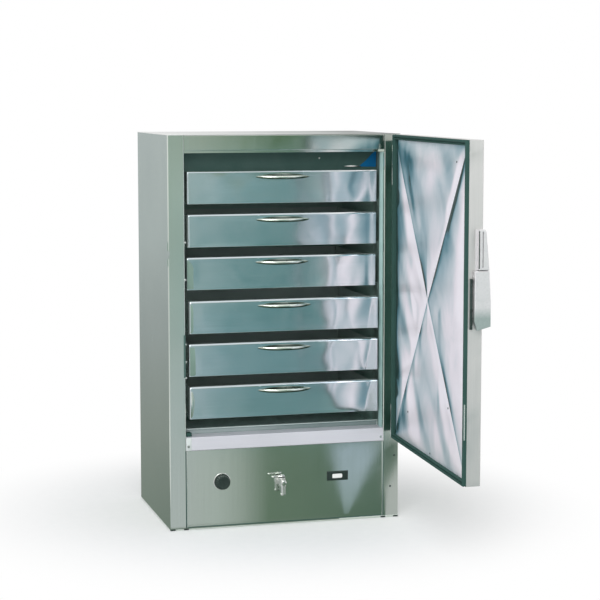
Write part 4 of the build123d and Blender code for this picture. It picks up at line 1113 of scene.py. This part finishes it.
# Cards in front of the cabinet: near the foot, farther off, high up, and for the left stile
CARD_FLOOR, PATCH_FLOOR, STILE_FLOOR = 0.004, 0.006, 0.008
FOOT, NEAR_END, FAR_END, STILE_END = -0.262, -1.62, -9.0, -8.98
LOW_STEP, RAIL_START, CARD_TOP = 0.45, 0.86, 5.0
front_eye = (CAMERA_PLACE.x, 2 * FRONT * MM - CAMERA_PLACE.y)
front_slopes = (0.195, 0.333)
card(
    "near_card", front_eye, front_slopes, [(FOOT, CARD_FLOOR), (NEAR_END, CARD_FLOOR)],
    [(0.0, (0.56, 0.58, 0.59)), (0.25, (0.50, 0.55, 0.53)), (0.357, (0.385, 0.44, 0.405)),
     (0.48, (0.165, 0.235, 0.175)), (1.0, (0.115, 0.18, 0.14))],
)
card(
    "far_card", front_eye, front_slopes,
    [(y, CARD_FLOOR) for y in (NEAR_END, -2.9, -4.4, -6.4, FAR_END)]
    + [(FAR_END, LOW_STEP), (FAR_END, RAIL_START)],
    [(0.0, (0.46, 0.53, 0.52)), (0.16, (0.41, 0.52, 0.51)), (0.27, (0.25, 0.39, 0.38)),
     (0.42, (0.17, 0.31, 0.30)), (1.0, (0.165, 0.295, 0.285))],
    [(0.0, (1.0, 0.97, 0.96)), (0.25, (1.25, 1.15, 1.22)), (0.42, (0.85, 0.93, 0.95)), (0.75, WHITE),
     (0.92, (1.6, 1.4, 1.45)), (1.0, (1.6, 1.4, 1.45))],
)
card(
    "rail_card", front_eye, front_slopes, [(FAR_END, RAIL_START), (FAR_END, CARD_TOP)],
    [(0.0, (0.36, 0.44, 0.38)), (0.17, (0.418, 0.43, 0.40)), (0.27, (0.33, 0.40, 0.29)),
     (0.45, (0.095, 0.165, 0.080)), (1.0, (0.095, 0.165, 0.080))],
)
card(
    "stile_card", front_eye, (0.15, 0.2125),
    [(y, STILE_FLOOR) for y in (FOOT, NEAR_END, -4.4, STILE_END)]
    + [(STILE_END, z) for z in (LOW_STEP, RAIL_START, CARD_TOP)],
    PLAIN,
    [(0.0, (0.57, 0.60, 0.61)), (0.2, (0.52, 0.57, 0.59)), (0.36, (0.45, 0.526, 0.515)),
     (0.66, (0.39, 0.49, 0.44)), (1.0, (0.385, 0.49, 0.43))],
)
card(
    "foot_card", front_eye, (0.333, 0.40), [(FOOT, CARD_FLOOR), (-1.7, CARD_FLOOR)],
    [(0.0, (0.56, 0.57, 0.57)), (1.0, even(0.61))],
)
# Painted shadow of the open door on the floor, seen only in the metal near the foot
patch(
    "door_shadow_patch", [(0.75, -1.56), (0.83, -1.56), (0.70, -1.14), (0.445, -0.585)],
    [(0.0, (0.08, 0.13, 0.10)), (0.75, (0.12, 0.18, 0.14)), (1.0, (0.38, 0.43, 0.40))],
)
patch(
    "band_patch", [(0.521, -1.489), (0.728, -1.474), (0.227, -0.305), (0.212, -0.305)],
    [(0.0, (0.45, 0.54, 0.64)), (0.6, (0.41, 0.50, 0.56)), (0.85, (0.33, 0.42, 0.44)),
     (1.0, (0.22, 0.30, 0.28))],
)
patch(
    "corner_patch", [(0.80, -2.5), (1.05, -2.5), (0.95, -2.1), (0.70, -2.1)],
    [(0.0, (0.47, 0.56, 0.61)), (1.0, (0.47, 0.56, 0.61))],
)

# Card at the left of the cabinet, for its side
SIDE_END = 11.0
side_eye = (-2 * HALF_WIDTH * MM - CAMERA_PLACE.x, CAMERA_PLACE.y)
card(
    "side_card", side_eye, (-0.30, -0.10),
    [(y, CARD_FLOOR) for y in (-0.3, 0.6, 1.4, 4.3, SIDE_END)] + [(SIDE_END, 2.0), (SIDE_END, CARD_TOP)],
    PLAIN,
    [(0.0, (0.20, 0.245, 0.21)), (0.33, (0.28, 0.315, 0.29)), (0.5, (0.355, 0.39, 0.39)),
     (0.67, (0.465, 0.51, 0.515)), (1.0, (0.58, 0.61, 0.63))],
)

# Card at the front left, for the rounded edge between the side and the stile
toned(
    "edge_card", [[(-2.5, -2.4 + 0.28 * step, 0.35 * row) for step in range(9)] for row in range(4)], PLAIN,
    [(0.0, (0.42, 0.47, 0.44)), (0.74, (0.44, 0.49, 0.46)), (0.88, (0.85, 0.88, 0.86)),
     (1.0, (0.95, 0.97, 0.95))],
)

door_sheet()
gasket()
hinge_side()
opening_trim()
coil_shade_cover()
for number in range(6):
    bow_handle(number)
    drawer_face(number)
# Painted reflections of the stile over the left ends of drawers 3 to 6
for number, finish, outline in (
    (2, STILE_REFLECTION, [(-310.2, 7.0), (-304.0, 9.0), (-294.0, 20.0), (-290.0, 32.0), (-290.0, 98.0), (-310.2, 99.0)]),
    (3, STILE_REFLECTION, [(-306.4, 8.0), (-300.0, 10.0), (-297.0, 30.0), (-297.0, 92.0), (-301.0, 98.0), (-306.4, 99.0)]),
    (4, STILE_REFLECTION, [(-308.6, 8.0), (-293.0, 9.0), (-291.0, 40.0), (-290.0, 95.0), (-294.0, 99.0), (-308.6, 99.0)]),
    (5, BEAD, [
        (-307.4, 12.0), (-300.0, 16.0), (-294.0, 40.0), (-295.0, 62.0), (-300.0, 90.0), (-307.4, 99.0),
    ]),
):
    drawer_end(number, finish, outline)
sill_and_foot()
back_frame()
knob()
tap()
thermometer()
latch()
